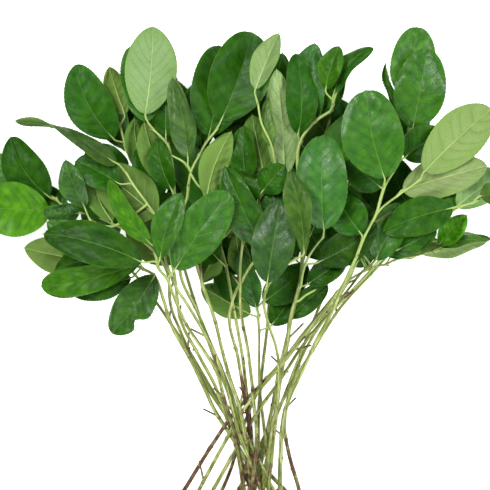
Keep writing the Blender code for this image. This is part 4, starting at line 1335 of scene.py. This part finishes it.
def node(tree, kind, inputs=None, **settings):
    """A shader node, with its settings, and its inputs given as values or as sockets."""
    made = tree.nodes.new("ShaderNode" + kind)
    for name, value in settings.items():
        setattr(made, name, value)
    for key, value in (inputs or {}).items():
        if isinstance(value, bpy.types.NodeSocket):
            tree.links.new(value, made.inputs[key])
        else:
            made.inputs[key].default_value = value
    return made


def sums(tree, operation, a, b=0.0, c=0.0):
    """The result of one sum of up to three values."""
    return node(tree, "Math", {0: a, 1: b, 2: c}, operation=operation).outputs[0]


def times(tree, a, b):
    return sums(tree, "MULTIPLY", a, b)


def ramp(tree, value, low, high, start=0.0, end=1.0):
    """A smooth step of a value from low to high, and what it becomes at the two."""
    inputs = {"Value": value, "From Min": low, "From Max": high, "To Min": start, "To Max": end}
    return node(tree, "MapRange", inputs, interpolation_type="SMOOTHSTEP").outputs["Result"]


def blend(tree, share, a, b, way="MIX"):
    """Two colours mixed by a share, each given as a socket or as three linear values."""
    a, b = (colour if isinstance(colour, bpy.types.NodeSocket) else (*colour, 1) for colour in (a, b))
    inputs = {"Factor": share, 6: a, 7: b}
    return node(tree, "Mix", inputs, data_type="RGBA", blend_type=way).outputs[2]


def layered(tree, colour, layers, shares):
    """The colour under tinted layers, with the share of each by its name."""
    for name, *tint_and_way in layers:
        colour = blend(tree, shares[name], colour, *tint_and_way)
    return colour


def attribute(tree, name):
    return node(tree, "Attribute", attribute_name=name).outputs["Vector"]


def parts(tree, vector):
    return node(tree, "SeparateXYZ", {0: vector}).outputs


def joined(tree, x, y, z):
    return node(tree, "CombineXYZ", {0: x, 1: y, 2: z}).outputs[0]


def noise(tree, place, scale, detail=3.0):
    return node(tree, "TexNoise", {"Vector": place, "Scale": scale, "Detail": detail}).outputs["Fac"]


def clouds(tree, place, scale, detail, *limits):
    """A noise, taken through a smooth step."""
    return ramp(tree, noise(tree, place, scale, detail), *limits)


def bump(tree, shader, height, strength, distance):
    inputs = {"Strength": strength, "Distance": distance, "Height": height}
    tree.links.new(node(tree, "Bump", inputs).outputs["Normal"], shader.inputs["Normal"])


def new_material(name, roughness, specular):
    material = bpy.data.materials.new(name)
    material.use_nodes = True
    shader = material.node_tree.nodes["Principled BSDF"]
    shader.inputs["Roughness"].default_value = roughness
    shader.inputs["Specular IOR Level"].default_value = specular
    return material, material.node_tree, shader


# A blade's masks: veins in shares of their spacing, places in half-widths, the rib in millimetres
VEIN_LINE = (0.012, 0.055)
# The reach of the painted shade along each side vein
PAINTED_VEIN_SHADE_REACH = (0.0, 0.30)
VEIN_ENDS = (0.70, 0.93)
MIDRIB_WIDTHS = (0.62, 0.16)
MIDRIB_LINE = (0.6, 1.15)
NET_SCALE = 0.42
NET_LINE = (0.0, 0.085)
BROWN_TIP = (1.0, 1.02)
SEED_SHIFT = 60.0
FULL_TO_NONE = (1.0, 0.0)

# What colours and raises each face of a blade. A layer is its name, its tint and how it is mixed.
# The shares say how much of a layer shows on its mask, and the edge where it begins and is full.
# A cloud is a noise's scale and detail, its limits, and the layer's share at the two.
UPPER_FACE = {
    "layers": (
        ("patches", (0.072, 0.180, 0.004)),
        ("shade", (0.42, 0.58, 0.50), "MULTIPLY"),
        # Painted shade in the sunken furrows along the side veins
        ("painted_vein_shade", (0.50, 0.66, 0.50), "MULTIPLY"),
        ("net", (0.060, 0.17, 0.01)),
        ("veins", (0.075, 0.19, 0.02)),
        ("edge", (0.10, 0.19, 0.03)),
        ("midrib", (0.15, 0.27, 0.05)),
        ("tip", (0.06, 0.035, 0.015)),
    ),
    "shares": {"painted_vein_shade": 0.55, "net": 0.12, "veins": 0.22, "midrib": 0.42, "tip": 0.9},
    "edge": (0.965, 1.0, 0.0, 0.45),
    "clouds": {"patches": (0.045, 4.0, 0.35, 0.7, 0.0, 0.22), "shade": (0.11, 2.0, 0.3, 0.72, 0.9, 0.0)},
    "grain": (1.6, 2.0, 0.30),
    "relief": {"veins": -0.7, "net": -0.28},
    "bump": (0.85, 0.0003),
}
# On the undersides the vein and net tints are partly the veins' own colour and partly painted shade along
# the raised veins
UNDER_FACE = {
    "layers": (
        ("patches", (0.13, 0.27, 0.03)),
        ("edge", (0.14, 0.28, 0.04)),
        # Painted shade beside the raised veins
        ("painted_vein_shade", (0.10, 0.20, 0.035)),
        ("net", (0.09, 0.19, 0.03)),
        ("veins", (0.12, 0.23, 0.05)),
        ("midrib", (0.38, 0.54, 0.16)),
        ("tip", (0.06, 0.035, 0.015)),
    ),
    "shares": {"painted_vein_shade": 0.20, "net": 0.42, "veins": 0.62, "midrib": 0.85, "tip": 0.9},
    "edge": (0.45, 1.0, 0.0, 0.4),
    "clouds": {"patches": (0.06, 4.0, 0.3, 0.75, 0.0, 0.30)},
    "grain": (1.3, 3.0, 0.35),
    "relief": {"net": 0.5, "veins": 0.6},
    "bump": (0.5, 0.0003),
}

# How the upper face's roughness varies, and how far it goes from the material's own
SHINE_CLOUD = (0.35, 3.0, 0.25, 0.8)
SHINE_RANGE = (-0.05, 0.14)

# Bark: painted shade on one side of each stem and painted light on the other, and the two browns of woody
# bark, which its streaks mix
BARK_PAINTED_SHADE_AND_LIGHT = ((0.18, 0.245, 0.045), (0.47, 0.53, 0.19))
BARK_PAINTED_LIGHT_CLOUD = (0.9, 2.0, 0.42, 0.58, 0.0, 1.0)
BARK_LAYERS = (
    ("streaks", (0.080, 0.120, 0.015)),
    ("sprig", (0.29, 0.30, 0.08)),
    ("specks", (0.16, 0.13, 0.035)),
    ("fresh", (0.38, 0.54, 0.15)),
)
WOOD_BROWNS = ((0.155, 0.070, 0.034), (0.040, 0.018, 0.010))
FRESH_REACH = (310.0, 430.0)
STREAK_SHIFT = 90.0
LONG_STREAKS = 0.035
SHORT_STREAKS = 0.5


def blade_masks(tree):
    """A place in the blade, its nearness to the edge, and masks of its veins, net and tip."""
    across, along, seed = parts(tree, attribute(tree, "blade"))
    off, up, row = parts(tree, attribute(tree, "blade_mm"))
    place = joined(tree, off, up, times(tree, seed, SEED_SHIFT))
    edge = sums(tree, "ABSOLUTE", across)
    rib_width = ramp(tree, along, 0.0, 1.0, *MIDRIB_WIDTHS)
    from_rib = sums(tree, "DIVIDE", sums(tree, "ABSOLUTE", off), rib_width)
    from_vein = sums(tree, "PINGPONG", sums(tree, "ADD", row, 20.0), 0.5)
    inner = ramp(tree, edge, *VEIN_ENDS, *FULL_TO_NONE)
    cells = {"Vector": place, "Scale": NET_SCALE}
    from_cell = node(tree, "TexVoronoi", cells, feature="DISTANCE_TO_EDGE").outputs["Distance"]
    masks = {
        "midrib": ramp(tree, from_rib, *MIDRIB_LINE, *FULL_TO_NONE),
        "veins": times(tree, ramp(tree, from_vein, *VEIN_LINE, *FULL_TO_NONE), inner),
        # Painted shade: a band along each side vein, darker where shade lies in and beside the vein
        "painted_vein_shade": times(tree, ramp(tree, from_vein, *PAINTED_VEIN_SHADE_REACH, *FULL_TO_NONE), inner),
        "net": ramp(tree, from_cell, *NET_LINE, *FULL_TO_NONE),
        "tip": ramp(tree, along, *BROWN_TIP),
    }
    return place, edge, masks


def blade_material(name, face, roughness, specular, uneven=False):
    """A face of the blades: tinted layers over each leaf's own colour, and a fine relief.

    An uneven one has a roughness that varies.
    """
    material, tree, shader = new_material(name, roughness, specular)
    place, edge, masks = blade_masks(tree)
    shares = {layer: times(tree, masks[layer], most) for layer, most in face["shares"].items()}
    shares["edge"] = ramp(tree, edge, *face["edge"])
    for layer, cloud in face["clouds"].items():
        shares[layer] = clouds(tree, place, *cloud)
    colour = layered(tree, attribute(tree, "leaf_colour"), face["layers"], shares)
    tree.links.new(colour, shader.inputs["Base Color"])
    if uneven:
        shine = clouds(tree, place, *SHINE_CLOUD, *(roughness + change for change in SHINE_RANGE))
        tree.links.new(shine, shader.inputs["Roughness"])
    scale, detail, rise = face["grain"]
    height = times(tree, noise(tree, place, scale, detail), rise)
    for mask, rise in face["relief"].items():
        height = sums(tree, "MULTIPLY_ADD", masks[mask], rise, height)
    bump(tree, shader, height, *face["bump"])
    return material


def stem_material(name):
    """Yellow-green bark with painted light on one side and painted shade on the other, long pale and
    olive streaks, which turns red-brown and woody.
    """
    material, tree, shader = new_material(name, 0.45, 0.3)
    length, wood, seed = parts(tree, attribute(tree, "stem_looks"))
    cosine, sine, along = parts(tree, attribute(tree, "stem_skin"))
    shift = times(tree, seed, STREAK_SHIFT)
    skin = joined(tree, cosine, sine, sums(tree, "MULTIPLY_ADD", along, LONG_STREAKS, shift))
    fine = joined(tree, cosine, sine, sums(tree, "MULTIPLY_ADD", along, SHORT_STREAKS, shift))
    # Painted light and painted shade: each stem is lighter on one side and darker on the other
    side = clouds(tree, skin, *BARK_PAINTED_LIGHT_CLOUD)
    streaks = noise(tree, skin, 3.5)
    specks = noise(tree, fine, 1.6, 4.0)
    shares = {
        "streaks": ramp(tree, streaks, 0.47, 0.62, 0.0, 0.85),
        "sprig": ramp(tree, seed, 0.0, 1.0, 0.0, 0.2),
        "specks": ramp(tree, specks, 0.56, 0.72, 0.0, 0.6),
        "fresh": ramp(tree, length, *FRESH_REACH, 0.0, 0.75),
    }
    colour = layered(tree, blend(tree, side, *BARK_PAINTED_SHADE_AND_LIGHT), BARK_LAYERS, shares)
    brown = blend(tree, ramp(tree, streaks, 0.35, 0.65), *WOOD_BROWNS)
    woody = sums(tree, "SUBTRACT", wood, 1.05)
    blots = sums(tree, "MULTIPLY_ADD", noise(tree, fine, 0.25), 1.5, woody)
    share = sums(tree, "MULTIPLY_ADD", specks, 0.6, blots)
    colour = blend(tree, ramp(tree, share, 0.22, 0.80), colour, brown)
    tree.links.new(colour, shader.inputs["Base Color"])
    tree.links.new(ramp(tree, wood, 0.2, 0.8, 0.40, 0.70), shader.inputs["Roughness"])
    bump(tree, shader, sums(tree, "MULTIPLY_ADD", streaks, 0.8, specks), 0.7, 0.0004)
    return material


# Studio: each lamp's place and size in metres and its power in watts
FLOOR_SIZE = 8.0
FLOOR_DROP = 0.0004
FLOOR_WHITE = (0.93, 0.93, 0.93, 1)
FLOOR_GLOW = 0.8
WHITE = (1, 1, 1, 1)
WORLD_LIGHT = 0.10
LAMP_TARGET = (0, 0.05, 0)
LAMPS = (
    ("key", (-1.0, 1.0, 2.1), (1.0, 1.0), 66),
    ("fill", (1.7, 0.5, 1.5), (1.3, 1.3), 36),
    ("low", (0.3, -1.8, 1.3), (1.6, 1.1), 34),
)

# The camera looks straight down on the middle of the sheet that the photograph frames
PHOTO_SIDE = 490
CAMERA_HEIGHT = 3.0
CAMERA_LEVEL = 60


def area_light(name, place, size, power):
    light = bpy.data.lights.new(name, "AREA")
    light.shape = "RECTANGLE"
    light.size, light.size_y = size
    light.energy = power
    lamp = shown(name, light)
    lamp.location = place
    lamp.rotation_euler = (Vector(LAMP_TARGET) - Vector(place)).to_track_quat("-Z", "Y").to_euler()


def floor():
    """A plain white floor, lit through from below as a light table is."""
    mesh = bpy.data.meshes.new("floor")
    half = FLOOR_SIZE / 2
    corners = [(-half, -half), (half, -half), (half, half), (-half, half)]
    mesh.from_pydata([(x, y, -FLOOR_DROP) for x, y in corners], [], [(0, 1, 2, 3)])
    material, _, shader = new_material("floor", 0.9, 0.1)
    shader.inputs["Base Color"].default_value = FLOOR_WHITE
    shader.inputs["Emission Color"].default_value = WHITE
    shader.inputs["Emission Strength"].default_value = FLOOR_GLOW
    mesh.materials.append(material)
    obj = shown("floor", mesh)


def studio():
    """Soft light from all round, stronger from the upper left, and little from straight above."""
    world = bpy.data.worlds.new("studio")
    world.use_nodes = True
    back = world.node_tree.nodes["Background"]
    back.inputs["Color"].default_value = WHITE
    back.inputs["Strength"].default_value = WORLD_LIGHT
    bpy.context.scene.world = world
    for name, place, size, power in LAMPS:
        area_light(name, place, size, power)


def camera():
    data = bpy.data.cameras.new("camera")
    data.angle = 2 * math.atan(PHOTO_SIDE / 2 * MM / CAMERA_HEIGHT)
    obj = shown("camera", data)
    middle = np.array([PHOTO_SIDE / 2, -PHOTO_SIDE / 2, CAMERA_LEVEL]) * MM + BUNCH
    obj.location = middle + np.array([0, 0, CAMERA_HEIGHT])
    bpy.context.scene.camera = obj


def bunch_place(sprigs):
    """Where the sheet's corner lies in the frame, so that the bunch's middle is at its origin."""
    shapes = [tube(stem)[0] for sprig in sprigs for stem in sprig["stems"]]
    shapes += [leaf_points(leaf) for sprig in sprigs for leaf in sprig["leaves"]]
    every = np.vstack(shapes)
    low, high = every.min(axis=0), every.max(axis=0)
    return np.array([-(low[0] + high[0]) / 2 * MM, -(low[1] + high[1]) / 2 * MM, 0.0])


SPRIG_BODY = "root"
sprigs = grow_bunch()
BUNCH = bunch_place(sprigs)
satin = blade_material("salal_leaf_satin", UPPER_FACE, 0.33, 0.13, uneven=True)
glossy = blade_material("salal_leaf_glossy", UPPER_FACE, 0.30, 0.28, uneven=True)
under = blade_material("salal_underside", UNDER_FACE, 0.62, 0.18)
bark = stem_material("salal_stem")
for sprig in sprigs:
    leaves = leaves_piece(sprig, [satin, glossy, under, bark])
    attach(leaves, SPRIG_BODY)
    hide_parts(sprig["name"])
    stem = stem_piece(sprig, [bark])
    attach(stem, SPRIG_BODY)

floor()
studio()
camera()
bpy.context.scene.view_settings.view_transform = "Standard"
